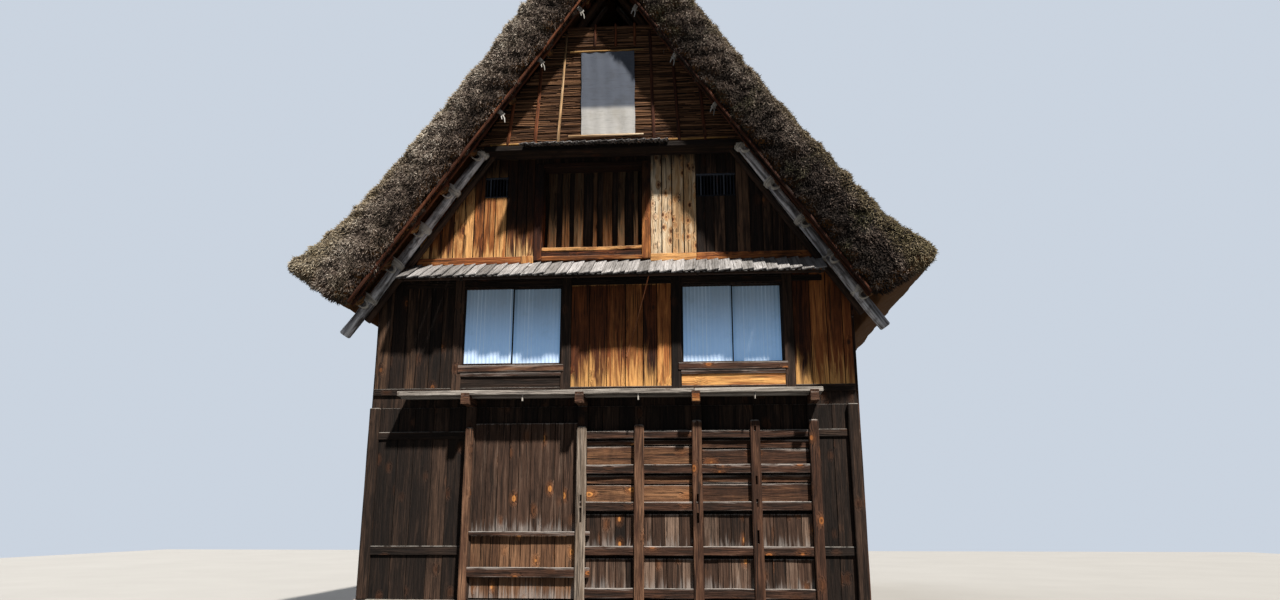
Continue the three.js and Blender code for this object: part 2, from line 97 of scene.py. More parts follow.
def sun_lamp(name, come_from, power, spread, colour):
    """A far lamp that shines from a direction, its edge blurred by a spread in degrees."""
    lamp = bpy.data.lights.new(name, "SUN")
    lamp.energy = power
    lamp.angle = math.radians(spread)
    lamp.color = colour
    hung = bpy.data.objects.new(name, lamp)
    hung.rotation_euler = come_from.to_track_quat("Z", "Y").to_euler()
    scene.collection.objects.link(hung)


sun_lamp("sun", SUN_FROM, SUN_POWER, SUN_SPREAD, SUN_COLOUR)
sun_lamp("rear_light", REAR_FROM, REAR_POWER, REAR_SPREAD, REAR_COLOUR)

world = bpy.data.worlds.new("surround")
world.use_nodes = True
nodes, links = world.node_tree.nodes, world.node_tree.links
backdrop = nodes["Background"]
backdrop.inputs["Color"].default_value = SURROUND
path = nodes.new("ShaderNodeLightPath")
strength = nodes.new("ShaderNodeMapRange")
strength.inputs["To Min"].default_value = FILL
strength.inputs["To Max"].default_value = BACKDROP
links.new(path.outputs["Is Camera Ray"], strength.inputs["Value"])
links.new(strength.outputs["Result"], backdrop.inputs["Strength"])
scene.world = world
scene.view_settings.view_transform = "Standard"
scene.view_settings.look = "None"
print("lamps:", [lamp.name for lamp in bpy.data.lights])

# %% [markdown]
# A material is a tree of nodes. Small helpers keep the trees short enough to read: one adds a node
# and joins or sets its sockets, others read coordinates and attributes, mix two colours, lay a paint
# over a colour where a mask is, or spread a value over a ramp. Colours are written as a painter would
# measure them on a screen, 0 to 255, and turned linear.

# %% Node helpers: sums and mixes
def paint(red, green, blue):
    """A colour measured on a screen, as the linear colour that a shader wants."""
    def linear(value):
        share = value / 255
        return share / 12.92 if share <= 0.04045 else ((share + 0.055) / 1.055) ** 2.4
    return (linear(red), linear(green), linear(blue), 1.0)


def node(tree, kind, inputs=None, **settings):
    """Adds a node. An input that is given a socket is joined to it, and any other is set."""
    made = tree.nodes.new(kind)
    for key, value in settings.items():
        setattr(made, key, value)
    for key, value in (inputs or {}).items():
        if isinstance(value, bpy.types.NodeSocket):
            tree.links.new(value, made.inputs[key])
        else:
            made.inputs[key].default_value = value
    return made


def mixed(tree, share, first, second, blend="MIX"):
    """Two colours mixed by a share, which may be a number or a socket."""
    inputs = {0: share, 6: first, 7: second}
    return node(tree, "ShaderNodeMix", inputs, data_type="RGBA", blend_type=blend).outputs[2]


def worked(tree, operation, first, second=0.0, third=0.0):
    """A sum on numbers or sockets, kept between 0 and 1."""
    inputs = {0: first, 1: second, 2: third}
    return node(tree, "ShaderNodeMath", inputs, operation=operation, use_clamp=True).outputs[0]


def less(tree, value):
    """What is left of one when a value is taken away."""
    return worked(tree, "SUBTRACT", 1.0, value)


def laid(tree, mask, share, colour, over, blend="MIX"):
    """A paint laid over a colour where a mask is, at most by a share."""
    return mixed(tree, worked(tree, "MULTIPLY", mask, share), colour, paint(*over), blend)


def summed(tree, first, *others):
    """Values added up, each given as a pair of a value and its share."""
    total = worked(tree, "MULTIPLY", *first)
    for value, share in others:
        total = worked(tree, "MULTIPLY_ADD", value, share, total)
    return total


def lowered(tree, base, value, share):
    """A value with a share of another taken away."""
    return worked(tree, "SUBTRACT", base, worked(tree, "MULTIPLY", value, share))


# %% Node helpers: ramps, places and patches
def ramp(tree, value, stops):
    """Colours spread over a value, as a list of place and colour."""
    made = node(tree, "ShaderNodeValToRGB", {"Fac": value})
    points = made.color_ramp.elements
    while len(points) < len(stops):
        points.new(0.5)
    for point, (place, colour) in zip(points, stops):
        point.position = place
        point.color = colour
    return made.outputs["Color"]


def tinted(tree, value, stops):
    """Paints spread over a value, as a list of place and paint."""
    return ramp(tree, value, [(at, paint(*tint)) for at, tint in stops])


def object_place(tree):
    """The house's own coordinates, in metres."""
    return node(tree, "ShaderNodeTexCoord").outputs["Object"]


def height_of(tree, vector):
    """The upright part of a vector."""
    return node(tree, "ShaderNodeSeparateXYZ", {"Vector": vector}).outputs["Z"]


def carried(tree, name, output="Fac"):
    """A number that every point of the mesh carries, or a vector."""
    return node(tree, "ShaderNodeAttribute", attribute_name=name).outputs[output]


def patchy(tree, vector, size, stretch=(1, 1, 1), detail=4.0, rough=0.6, twist=0.0):
    """Soft noise whose patches are about as large as size, in metres, pulled out by stretch."""
    scale = tuple(1 / (size * s) for s in stretch)
    moved = node(tree, "ShaderNodeMapping", {"Vector": vector, "Scale": scale}).outputs["Vector"]
    inputs = {"Vector": moved, "Scale": 1.0, "Detail": detail, "Roughness": rough, "Distortion": twist}
    return node(tree, "ShaderNodeTexNoise", inputs).outputs["Fac"]


def upward_part(tree):
    """How far a face looks up, from -1 to 1."""
    return height_of(tree, node(tree, "ShaderNodeNewGeometry").outputs["Normal"])


def banded(tree, value, low, high):
    """0 below low, 1 above high, and smooth between."""
    inputs = {"Value": value, "From Min": low, "From Max": high}
    return node(tree, "ShaderNodeMapRange", inputs, interpolation_type="SMOOTHSTEP").outputs["Result"]


def new_finish(name, roughness=0.85):
    """An empty material with its shader, ready for a tree."""
    finish = bpy.data.materials.new(name)
    finish.use_nodes = True
    shader = finish.node_tree.nodes["Principled BSDF"]
    shader.inputs["Roughness"].default_value = roughness
    shader.inputs["Specular IOR Level"].default_value = 0.25
    return finish, finish.node_tree, shader


def joined(tree, shader, colour, height, distance):
    """Joins a colour to the shader, and a height to its normal, with a depth in metres."""
    tree.links.new(colour, shader.inputs["Base Color"])
    made = node(tree, "ShaderNodeBump", {"Height": height, "Distance": distance, "Strength": 1.0})
    tree.links.new(made.outputs["Normal"], shader.inputs["Normal"])


# %% Floor under the house
FLOOR_SIZE = 60.0
floor_finish, tree, shader = new_finish("pale floor", 0.9)
place = object_place(tree)
cloud = patchy(tree, place, 2.5)
seen = node(tree, "ShaderNodeLightPath").outputs["Is Camera Ray"]
pale = mixed(tree, cloud, paint(150, 148, 145), paint(164, 162, 159))
tree.links.new(mixed(tree, seen, paint(84, 83, 81), pale), shader.inputs["Base Color"])

ground = bmesh.new()
bmesh.ops.create_grid(ground, x_segments=8, y_segments=8, size=FLOOR_SIZE / 2)
floor_mesh = bpy.data.meshes.new("studio_floor")
ground.to_mesh(floor_mesh)
ground.free()
floor_mesh.materials.append(floor_finish)
studio_floor = bpy.data.objects.new("studio_floor", floor_mesh)
scene.collection.objects.link(studio_floor)
print("floor", FLOOR_SIZE, "m wide")

# %% [markdown]
# Old timber is the house's main finish. Its grain follows each board, so every board carries its own
# coordinates: an attribute called grain, whose X runs along the fibres, and another called tone, one
# number a board, so that neighbours differ. One node group turns grain into broad streaks, fine
# fibres, cracks and knots, and every timber finish shares it. A knot has a heart, a ring and a stained
# halo, and the fibres bend round it, because the halo also pushes the place where they are read.

# %% Wood grain group
def make_wood_grain():
    """From grain coordinates to streaks, fibres, cracks and knots, each a value from 0 to 1."""
    group = bpy.data.node_groups.new("wood grain", "ShaderNodeTree")
    group.interface.new_socket("Grain", in_out="INPUT", socket_type="NodeSocketVector")
    for name in ("Knot Reach", "Knot Scale"):
        group.interface.new_socket(name, in_out="INPUT", socket_type="NodeSocketFloat")
    for name in ("Streak", "Fibre", "Knot", "Heart", "Halo", "Crack"):
        group.interface.new_socket(name, in_out="OUTPUT", socket_type="NodeSocketFloat")
    start = group.nodes.new("NodeGroupInput")
    end = group.nodes.new("NodeGroupOutput")
    grain = start.outputs["Grain"]
    long = node(group, "ShaderNodeMapping", {"Vector": grain, "Scale": (0.62, 1, 1)}).outputs["Vector"]
    cells = node(group, "ShaderNodeTexVoronoi", {"Vector": long, "Scale": start.outputs["Knot Scale"],
                                                 "Randomness": 1.0})
    near = node(group, "ShaderNodeMath", {0: cells.outputs["Distance"], 1: start.outputs["Knot Reach"]},
                operation="DIVIDE").outputs[0]
    halo = less(group, banded(group, near, 0.7, 2.8))
    push = worked(group, "MULTIPLY", halo, 0.03)
    aside = node(group, "ShaderNodeCombineXYZ", {"Y": push, "Z": push}).outputs["Vector"]
    bent = node(group, "ShaderNodeVectorMath", {0: grain, 1: aside}, operation="ADD").outputs["Vector"]
    broad = patchy(group, bent, 0.075, (14, 1, 1), 5.0, 0.62, 0.8)
    fibre = patchy(group, bent, 0.012, (24, 1, 1), 3.0, 0.6)
    crack = patchy(group, bent, 0.022, (40, 1, 1), 2.0, 0.5, 0.3)
    group.links.new(banded(group, broad, 0.3, 0.7), end.inputs["Streak"])
    group.links.new(fibre, end.inputs["Fibre"])
    group.links.new(less(group, banded(group, near, 0.8, 1.0)), end.inputs["Knot"])
    group.links.new(less(group, banded(group, near, 0.3, 0.55)), end.inputs["Heart"])
    group.links.new(halo, end.inputs["Halo"])
    group.links.new(banded(group, crack, 0.57, 0.64), end.inputs["Crack"])
    return group


wood_grain = make_wood_grain()
print("wood grain group:", len(wood_grain.nodes), "nodes")

# %% Weather group
def make_weather():
    """Large soft stains, and bleaching of what looks at the sky, shared by every outdoor finish."""
    group = bpy.data.node_groups.new("weather", "ShaderNodeTree")
    for name in ("Stain", "Bleach"):
        group.interface.new_socket(name, in_out="OUTPUT", socket_type="NodeSocketFloat")
    end = group.nodes.new("NodeGroupOutput")
    place = object_place(group)
    stain = banded(group, patchy(group, place, 0.55, (1, 1, 2.2), 5.0, 0.7), 0.45, 0.68)
    worn = patchy(group, place, 0.09, (1, 1, 3), 4.0, 0.7)
    open_sky = banded(group, upward_part(group), 0.2, 0.9)
    sky = worked(group, "MULTIPLY", open_sky, banded(group, worn, 0.3, 0.55))
    group.links.new(stain, end.inputs["Stain"])
    group.links.new(sky, end.inputs["Bleach"])
    return group


weather = make_weather()
print("weather group:", len(weather.nodes), "nodes")

# %% Grain of a finish
GRAIN_ORDER = {"X": ("X", "Y", "Z"), "Y": ("Y", "Z", "X"), "Z": ("Z", "X", "Y")}


def grain_source(tree, along=None):
    """Grain and tone of a made piece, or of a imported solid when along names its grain's axis."""
    if along is None:
        return carried(tree, "grain", "Vector"), carried(tree, "tone")
    place = object_place(tree)
    apart = node(tree, "ShaderNodeSeparateXYZ", {"Vector": place})
    inputs = {i: apart.outputs[axis] for i, axis in enumerate(GRAIN_ORDER[along])}
    return node(tree, "ShaderNodeCombineXYZ", inputs).outputs["Vector"], patchy(tree, place, 0.8)


def wood_look(tree, grain, knots, knot_scale):
    """What the grain group says of a finish: its streaks, fibres, cracks and knots."""
    inputs = {"Grain": grain, "Knot Reach": knots, "Knot Scale": knot_scale}
    return node(tree, "ShaderNodeGroup", inputs, node_tree=wood_grain).outputs


# %% Rain bleach, painted light and painted shade
SOOT_PAINT = (26, 19, 16)
CRACK_PAINT = (20, 14, 11)
HEART_PAINT = (48, 26, 16)
# The black of painted shade, laid high on boards under the eaves and the pents.
SHADE_ABOVE_PAINT = (20, 13, 10)
BLEACH_PAINT = (184, 180, 174)


def wash_and_light(tree, colour, streak, reaches, wash_and_light_paint):
    """A pale paint up from the foot of each board and down from its top, as far as two reaches say: rain
    bleach, and painted light where a reach is wide.
    """
    margin = node(tree, "ShaderNodeSeparateXYZ", {"Vector": carried(tree, "margin", "Vector")})
    for gap, reach in zip((margin.outputs["X"], margin.outputs["Y"]), reaches):
        ragged = node(tree, "ShaderNodeMath", {0: streak, 1: -reach * 1.5, 2: gap},
                      operation="MULTIPLY_ADD").outputs[0]
        pale_band = less(tree, banded(tree, ragged, -reach * 1.1, reach * 0.3))
        colour = laid(tree, pale_band, 0.6, colour, wash_and_light_paint)
    return colour


def shade_painted_above(tree, colour, streak, heights):
    """Painted shade: black above two heights, and nothing below them."""
    uneven = node(tree, "ShaderNodeMath", {0: streak, 1: 0.35, 2: height_of(tree, object_place(tree))},
                  operation="MULTIPLY_ADD").outputs[0]
    return laid(tree, banded(tree, uneven, *heights), 0.9, colour, SHADE_ABOVE_PAINT)


# %% Timber finish
def timber_finish(name, deep, body, pale, knots=0.1, knot_scale=3.2, knot_paint=(60, 36, 22),
                  halo_paint=(92, 58, 38), grey=0.6, soot=0.5, shadowed=None, washed_and_lit=(),
                  wash_and_light_paint=(164, 158, 154), figure=0.44, along=None):
    """Timber from its darkest streaks to its palest.

    One pair of heights turns it black above them, which is painted shade. Another pair gives how far a pale
    paint reaches up from the foot of each board and down from its top: rain bleach at both ends, and painted
    light where the reach up from the foot is wide.
    """
    finish, tree, shader = new_finish(name, 0.82)
    grain, tone = grain_source(tree, along)
    wood = wood_look(tree, grain, knots, knot_scale)
    air = node(tree, "ShaderNodeGroup", node_tree=weather).outputs
    streak = wood["Streak"]
    level = summed(tree, (streak, figure), (tone, 0.68))
    colour = tinted(tree, level, [(0.12, deep), (0.5, body), (0.9, pale)])
    colour = laid(tree, wood["Halo"], 0.5, colour, halo_paint)
    fibres = banded(tree, wood["Fibre"], 0.3, 0.62)
    shades = ramp(tree, fibres, [(0, (0.42, 0.42, 0.42, 1)), (1, (1.1, 1.1, 1.1, 1))])
    colour = mixed(tree, figure + 0.08, colour, shades, "MULTIPLY")
    for mask, share, over in ((air["Stain"], soot, SOOT_PAINT), (wood["Crack"], 0.75, CRACK_PAINT),
                              (wood["Knot"], 0.8, knot_paint), (wood["Heart"], 0.7, HEART_PAINT),
                              (air["Bleach"], grey, BLEACH_PAINT)):
        colour = laid(tree, mask, share, colour, over)
    if washed_and_lit:
        colour = wash_and_light(tree, colour, streak, washed_and_lit, wash_and_light_paint)
    if shadowed:
        colour = shade_painted_above(tree, colour, streak, shadowed)
    height = lowered(tree, summed(tree, (streak, 0.4), (fibres, 0.6)), wood["Crack"], 0.6)
    joined(tree, shader, colour, height, 0.008)
    return finish


# %% Timber finishes
DARK = ((16, 12, 10), (42, 31, 25), (82, 62, 50))
BROWN = ((32, 22, 17), (84, 56, 42), (142, 106, 82))
GREYED = ((32, 23, 18), (82, 60, 48), (142, 118, 102))
LYING = ((34, 21, 15), (86, 57, 41), (150, 108, 76))
TANNED = ((46, 31, 22), (104, 73, 53), (158, 118, 88))
ORANGE = ((52, 28, 20), (160, 96, 48), (234, 176, 112))
RUSSET = ((54, 26, 16), (136, 76, 40), (214, 140, 78))
GOLDEN = ((132, 78, 46), (222, 156, 102), (250, 210, 162))
SHINGLE = ((66, 64, 65), (130, 127, 127), (186, 183, 184))
LEDGE = ((112, 104, 97), (172, 164, 156), (216, 209, 200))
BLEACHED = ((68, 58, 50), (126, 110, 96), (186, 172, 158))
PALE = ((128, 88, 56), (202, 164, 120), (242, 222, 192))
SHADOWED = ((15, 11, 9), (46, 33, 26), (112, 84, 64))

dark_timber = timber_finish("dark timber", *DARK)
# A near-black palette, black again high up: painted shade on the beam under the upper pent.
shaded_timber = timber_finish("sooty timber", *SHADOWED, soot=0.9, grey=0.1, shadowed=(7.4, 7.7))
brown_timber = timber_finish("brown timber", *BROWN, knots=0.12, knot_paint=(170, 106, 56),
                             halo_paint=(116, 72, 42), washed_and_lit=(0.015, 0.035))
greyed_timber = timber_finish("greyed timber", *GREYED, knots=0.12, knot_paint=(214, 144, 78),
                              halo_paint=(140, 86, 48), washed_and_lit=(0.2, 0.02), figure=0.34)
lying_timber = timber_finish("lying timber", *LYING, knots=0.13, knot_paint=(226, 156, 88),
                             halo_paint=(156, 94, 48), washed_and_lit=(0.012, 0.035), figure=0.4)
tanned_boards = timber_finish("tanned boards", *TANNED, knots=0.1, knot_paint=(214, 146, 80),
                              halo_paint=(168, 108, 62), soot=0.4, washed_and_lit=(0.2, 0.02), figure=0.34)
ORANGE_KNOTS = {"knot_paint": (92, 44, 22), "halo_paint": (150, 78, 34)}
orange_timber = timber_finish("orange timber", *ORANGE, soot=0.4, knots=0.16, grey=0.2, **ORANGE_KNOTS)
# Black high up and pale at the foot of each board: painted shade and painted light, with a little rain bleach
# at the top.
orange_boards = timber_finish("orange boards", *ORANGE, soot=0.4, knots=0.16, grey=0.2, shadowed=(6.9, 7.8),
                              washed_and_lit=(0.2, 0.02), wash_and_light_paint=(236, 182, 116), **ORANGE_KNOTS)
# A wide pale band at the foot of each board: painted sunlight, with a little rain bleach at the top.
russet_boards = timber_finish("russet boards", *RUSSET, soot=0.45, grey=0.3, halo_paint=(110, 56, 26),
                              washed_and_lit=(0.56, 0.02), wash_and_light_paint=(255, 196, 120), figure=0.3)
# Black above and pale at the foot of each slat: painted shade and painted light.
slat_boards = timber_finish("slat boards", *GOLDEN, soot=0.3, grey=0.1, shadowed=(6.45, 7.05),
                            washed_and_lit=(0.45, 0.02), wash_and_light_paint=(255, 214, 164))
# Black above and pale at the foot of each board: painted shade and painted light.
shaded_boards = timber_finish("sooty boards", *ORANGE, soot=0.5, grey=0.1, shadowed=(6.4, 6.8),
                             washed_and_lit=(0.35, 0.02), wash_and_light_paint=(248, 204, 142), **ORANGE_KNOTS)
# Black high up: painted shade.
recess_timber = timber_finish("recess timber", *RUSSET, soot=0.6, grey=0.1, knots=0.16, knot_scale=6.0,
                              knot_paint=(40, 22, 14), halo_paint=(120, 62, 30), shadowed=(6.6, 7.3))
shingle_timber = timber_finish("shingle timber", *SHINGLE, soot=0.3, grey=0.2, knots=0.05)
ledge_timber = timber_finish("ledge timber", *LEDGE, soot=0.2, grey=0.3, knots=0.05, figure=0.3)
bleached_timber = timber_finish("bleached timber", *BLEACHED, soot=0.3, grey=0.35, knots=0.05)
# Darker at the very top: painted shade.
knotty_boards = timber_finish("knotty boards", *PALE, knots=0.2, knot_scale=8.0, knot_paint=(86, 44, 22),
                              halo_paint=(206, 138, 78), soot=0.25, shadowed=(7.5, 8.0))
bare_wood = timber_finish("bare wood", *PALE, soot=0.25, grey=0.1)
# A near-black palette for boards that stand in deep shade: painted shade.
shadowed_boards = timber_finish("smoked boards", *SHADOWED, knots=0.12, knot_paint=(120, 74, 40), grey=0.1)
red_poles = timber_finish("red poles", (36, 20, 14), (92, 50, 31), (156, 92, 56), grey=0.1, soot=0.3)
crook_wood = timber_finish("crook wood", (62, 40, 24), (130, 92, 54), (184, 140, 90), grey=0.3, soot=0.2)
peeled_poles = timber_finish("peeled poles", (96, 88, 80), (160, 152, 144), (214, 208, 200), soot=0.45,
                             grey=0.3)
ochre_rods = timber_finish("ochre rods", (120, 84, 44), (182, 136, 78), (222, 186, 126), soot=0.2, grey=0.1)
print("timber finishes made:", len([m for m in bpy.data.materials if m.use_nodes]) - 1)

# %% [markdown]
# Boards, posts, rails and shingles are all the same thing to a modeller: a box that has lost its sharp edges
# and its straightness. Each is made as a small mesh of its own along X, softened with a bevel, cut across so
# that it can wander, and then turned into place. A gatherer joins hundreds of them into one piece, and gives
# each its grain and its tone on the way. It also writes down how far each point lies from the foot and from
# the top of its own board: rain bleaches both, and some finishes paint a wide pale band of light at the foot.

# %% Gatherer of small shapes
SHARP_FROM = math.radians(80)
GRAIN_SHIFT = 30
TONES = (0.1, 0.9)
TONE_SPREAD = 0.1
SEEDS = (-90, 90)


class Bits:
    """Joins many small shapes into one mesh, each with grain coordinates and a tone of its own."""

    def __init__(self, name):
        self.name = name
        self.dice = random.Random(name)
        self.scrap = bpy.data.meshes.new("scrap")
        self.whole = bmesh.new()
        self.whole.verts.layers.float_vector.new("grain")
        self.whole.verts.layers.float_vector.new("margin")
        self.whole.verts.layers.float.new("tone")
        self.count = 0

    def take(self, bit, place, tone=None, smooth=False, clips=()):
        """Puts one shape, drawn along X, in its place, and cuts off what lies beyond each clip."""
        shift = Vector([self.dice.uniform(-GRAIN_SHIFT, GRAIN_SHIFT) for _ in range(3)])
        if tone is None:
            level = self.dice.uniform(*TONES)
        else:
            level = tone + self.dice.uniform(-TONE_SPREAD, TONE_SPREAD)
        grain = bit.verts.layers.float_vector.get("grain")
        drawn = grain is not None
        if not drawn:
            grain = bit.verts.layers.float_vector.new("grain")
        tones = bit.verts.layers.float.get("tone")
        toned = tones is not None
        if not toned:
            tones = bit.verts.layers.float.new("tone")
        for vert in bit.verts:
            vert[grain] = (vert[grain] if drawn else vert.co) + shift
            if not toned:
                vert[tones] = level
        bit.transform(place)
        for point, normal in clips:
            clip_off(bit, point, normal)
        heights = [vert.co.z for vert in bit.verts]
        margin = bit.verts.layers.float_vector.new("margin")
        for vert in bit.verts:
            vert[margin] = (vert.co.z - min(heights), max(heights) - vert.co.z, 0)
        for face in bit.faces:
            face.smooth = smooth
        bit.normal_update()
        for edge in bit.edges:
            edge.smooth = not edge.is_manifold or edge.calc_face_angle() < SHARP_FROM
        bit.to_mesh(self.scrap)
        bit.free()
        self.whole.from_mesh(self.scrap)
        self.count += 1

    def finish(self, finish, slot, *nodes):
        """Makes the piece: it rides with the house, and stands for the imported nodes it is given."""
        mesh = bpy.data.meshes.new(self.name)
        self.whole.to_mesh(mesh)
        self.whole.free()
        bpy.data.meshes.remove(self.scrap)
        return settle(self.name, mesh, finish, slot, *nodes, note=f"{self.count} bits, ")


# %% Cutting a shape, and settling a piece
def clip_off(bit, point, normal):
    """Cuts away what lies beyond a plane, and closes the cut."""
    if all((vert.co - point).dot(normal) < 0 for vert in bit.verts):
        return
    everything = bit.verts[:] + bit.edges[:] + bit.faces[:]
    bmesh.ops.bisect_plane(bit, geom=everything, plane_co=point, plane_no=normal, clear_outer=True)
    open_edges = [edge for edge in bit.edges if edge.is_boundary]
    bmesh.ops.holes_fill(bit, edges=open_edges)


def settle(name, mesh, finish, slot, *nodes, note=""):
    """Turns a finished mesh into a piece of the house."""
    mesh.materials.clear()
    mesh.materials.append(finish)
    piece = bpy.data.objects.new(name, mesh)
    scene.collection.objects.link(piece)
    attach(piece, "root")
    if nodes:
        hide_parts(*nodes)
    mesh.calc_loop_triangles()
    print(f"{name}: {note}{len(mesh.loop_triangles)} triangles")
    return piece


# %% A plank
PLANK_CUT_EVERY = 0.35
PLANK_WAVES = 1.9


def bevelled(bit, edges, offset, segments=1):
    """Takes the sharpness off some edges."""
    bmesh.ops.bevel(bit, geom=edges, offset=offset, segments=segments, profile=0.5, affect="EDGES",
                    material=-1)


def with_length(bit, reach):
    """The edges that run most of the way along X."""
    return [e for e in bit.edges if abs(e.verts[0].co.x - e.verts[1].co.x) > reach]


def plank(dice, length, width, thick, wear=None, wander=0.004, crown=0.0):
    """A board along X with worn edges, a little crooked. A crown is the bevel of a post's top."""
    bit = bmesh.new()
    bmesh.ops.create_cube(bit, size=1, matrix=Matrix.Diagonal((length, width, thick, 1)))
    if crown:
        rim = [e for e in bit.edges if all(v.co.x > length * 0.49 for v in e.verts)]
        bevelled(bit, rim, crown, 2)
    worn = wear or min(0.007, 0.14 * min(width, thick))
    bevelled(bit, bit.edges[:], worn)
    cuts = max(1, min(10, round(length / PLANK_CUT_EVERY)))
    bmesh.ops.subdivide_edges(bit, edges=with_length(bit, length * 0.5), cuts=cuts)
    seed = dice.uniform(*SEEDS)
    for vert in bit.verts:
        flank = 4.0 if vert.co.y > 0 else -4.0
        along = vert.co.x * PLANK_WAVES
        vert.co.y += wander * noise.noise(Vector((along, flank, seed)))
        vert.co.z += wander * 0.7 * noise.noise(Vector((along, 0.5, seed + 7)))
    return bit


# %% A timber between two corners
AXES = {"X": (0, 1, 2), "Y": (1, 2, 0), "Z": (2, 0, 1)}


def turned(along, middle):
    """Turns what lies along X so that it lies along another axis, with its middle in place."""
    order = AXES[along]
    turn = Matrix([[1.0 if order[c] == r else 0.0 for c in range(3)] for r in range(3)])
    return Matrix.Translation(middle) @ turn.to_4x4()


def timber(bits, first, second, along="Z", tone=None, clips=(), **shape):
    """A plank that fills the room between two corners, with its grain along an axis."""
    low = Vector(map(min, first, second))
    high = Vector(map(max, first, second))
    length, width, thick = ((high - low)[i] for i in AXES[along])
    bit = plank(bits.dice, length, width, thick, **shape)
    bits.take(bit, turned(along, (low + high) / 2), tone, clips=clips)


# %% [markdown]
# Poles are trees with the bark off: round, slightly crooked and thinner at the top. A cone is drawn
# along X, its rims are softened, and rings of cuts let it bend. A bent stick is a small circle drawn
# out through a row of points. Straw rope is a ring of small section, spun right round and stretched to
# the shape of the poles it holds.

# %% A pole
POLE_WAVES = 0.8
POLE_SWELLS = 3


def pole(bits, start, end, radius, top=0.85, sides=10, bend=0.012, tone=None, step=0.4, rough=0.05):
    """A peeled pole from one point to another."""
    start, end = Vector(start), Vector(end)
    length = (end - start).length
    bit = bmesh.new()
    bmesh.ops.create_cone(bit, cap_ends=True, segments=sides, radius1=radius, radius2=radius * top,
                          depth=length, matrix=Matrix.Rotation(math.pi / 2, 4, "Y"))
    if sides > 6:
        rims = [e for e in bit.edges if abs(e.verts[0].co.x - e.verts[1].co.x) < 0.0001]
        bevelled(bit, rims, radius * 0.18)
    cuts = max(1, min(40, round(length / step)))
    bmesh.ops.subdivide_edges(bit, edges=with_length(bit, length * 0.5), cuts=cuts)
    seed = bits.dice.uniform(*SEEDS)
    for vert in bit.verts:
        along = vert.co.x
        swell = 1 + rough * noise.noise(Vector((along * POLE_SWELLS, math.atan2(vert.co.y, vert.co.z), seed)))
        vert.co.y = vert.co.y * swell + bend * noise.noise(Vector((along * POLE_WAVES, seed, 2)))
        vert.co.z = vert.co.z * swell + bend * noise.noise(Vector((along * POLE_WAVES, seed, 11)))
    direction = (end - start).to_track_quat("X", "Z").to_matrix().to_4x4()
    bits.take(bit, Matrix.Translation((start + end) / 2) @ direction, tone, smooth=True)


# %% A stick carried through points
def swept(bits, points, radii, sides=8):
    """A round stick carried through points, with a radius at each of them."""
    points = [Vector(point) for point in points]
    bit = bmesh.new()
    grain = bit.verts.layers.float_vector.new("grain")
    ring = bmesh.ops.create_circle(bit, segments=sides, radius=1)["verts"]
    edges = bit.edges[:]
    before = Matrix()
    heading = (points[1] - points[0]).to_track_quat("Z", "Y")
    walked = 0.0
    for i, point in enumerate(points):
        if i:
            made = bmesh.ops.extrude_edge_only(bit, edges=edges)["geom"]
            ring = [v for v in made if isinstance(v, bmesh.types.BMVert)]
            edges = [e for e in made if isinstance(e, bmesh.types.BMEdge)]
            walked += (point - points[i - 1]).length
        ahead = points[min(i + 1, len(points) - 1)] - points[max(i - 1, 0)]
        heading = (heading @ Vector((0, 0, 1))).rotation_difference(ahead) @ heading
        turn = heading.to_matrix().to_4x4()
        here = Matrix.Translation(point) @ turn @ Matrix.Diagonal((radii[i], radii[i], 1, 1))
        bmesh.ops.transform(bit, matrix=here @ before.inverted(), verts=ring)
        before = here
        for vert in ring:
            flank = turn.to_3x3().transposed() @ (vert.co - point)
            vert[grain] = Vector((walked, flank.x, flank.y))
    bmesh.ops.holes_fill(bit, edges=[e for e in bit.edges if e.is_boundary])
    bmesh.ops.recalc_face_normals(bit, faces=bit.faces)
    bits.take(bit, Matrix(), smooth=True)


# %% A turn of rope
def rope_turn(bits, middle, across, along, reach, stretch, thick=0.009):
    """One turn of rope: a ring about the axis along, its other reach measured along across."""
    bit = bmesh.new()
    flat = Matrix.Translation((reach, 0, 0)) @ Matrix.Rotation(math.pi / 2, 4, "X")
    bmesh.ops.create_circle(bit, segments=5, radius=thick, matrix=flat)
    bmesh.ops.spin(bit, geom=bit.verts[:] + bit.edges[:], cent=(0, 0, 0), axis=(0, 0, 1),
                   angle=2 * math.pi, steps=14, use_merge=True)
    bmesh.ops.recalc_face_normals(bit, faces=bit.faces)
    bmesh.ops.scale(bit, verts=bit.verts, vec=(stretch, 1, 1))
    up = Vector(along).normalized()
    side = Vector(across)
    side = (side - up * side.dot(up)).normalized()
    turn = Matrix((side, up.cross(side), up)).transposed().to_4x4()
    bits.take(bit, Matrix.Translation(middle) @ turn, smooth=True)


# %% [markdown]
# The house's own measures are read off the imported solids, so the boards fit whatever the solids say.
# Front and rear gables repeat each other. One number tells them apart: side is -1 at the front and 1
# at the rear, and out is the distance in front of the gable's wall face. Boards start a hair in front
# of the solid behind them, so that no two faces lie in one plane.

# %% Measures of the house
FRONT, REAR = -1, 1
HALF_DEPTH = -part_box("front_wall_windows")[0].y
HALF_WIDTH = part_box("right_wall")[1].x
SLOPE = 1.44
APEX = 10.95
COS_PITCH = math.cos(math.atan(SLOPE))
GABLES = ((FRONT, "front"), (REAR, "rear"))
HALVES = ((-1, "left"), (1, "right"))
BACK = 0.003


def gable_y(side, out):
    """The place of something at a distance in front of a gable's wall face."""
    return side * (HALF_DEPTH + out)


def gable_timber(bits, side, x0, x1, near, far, z0, z1, along="Z", **shape):
    """A timber on a gable, between two distances in front of the wall's face."""
    timber(bits, (x0, gable_y(side, near), z0), (x1, gable_y(side, far), z1), along, **shape)


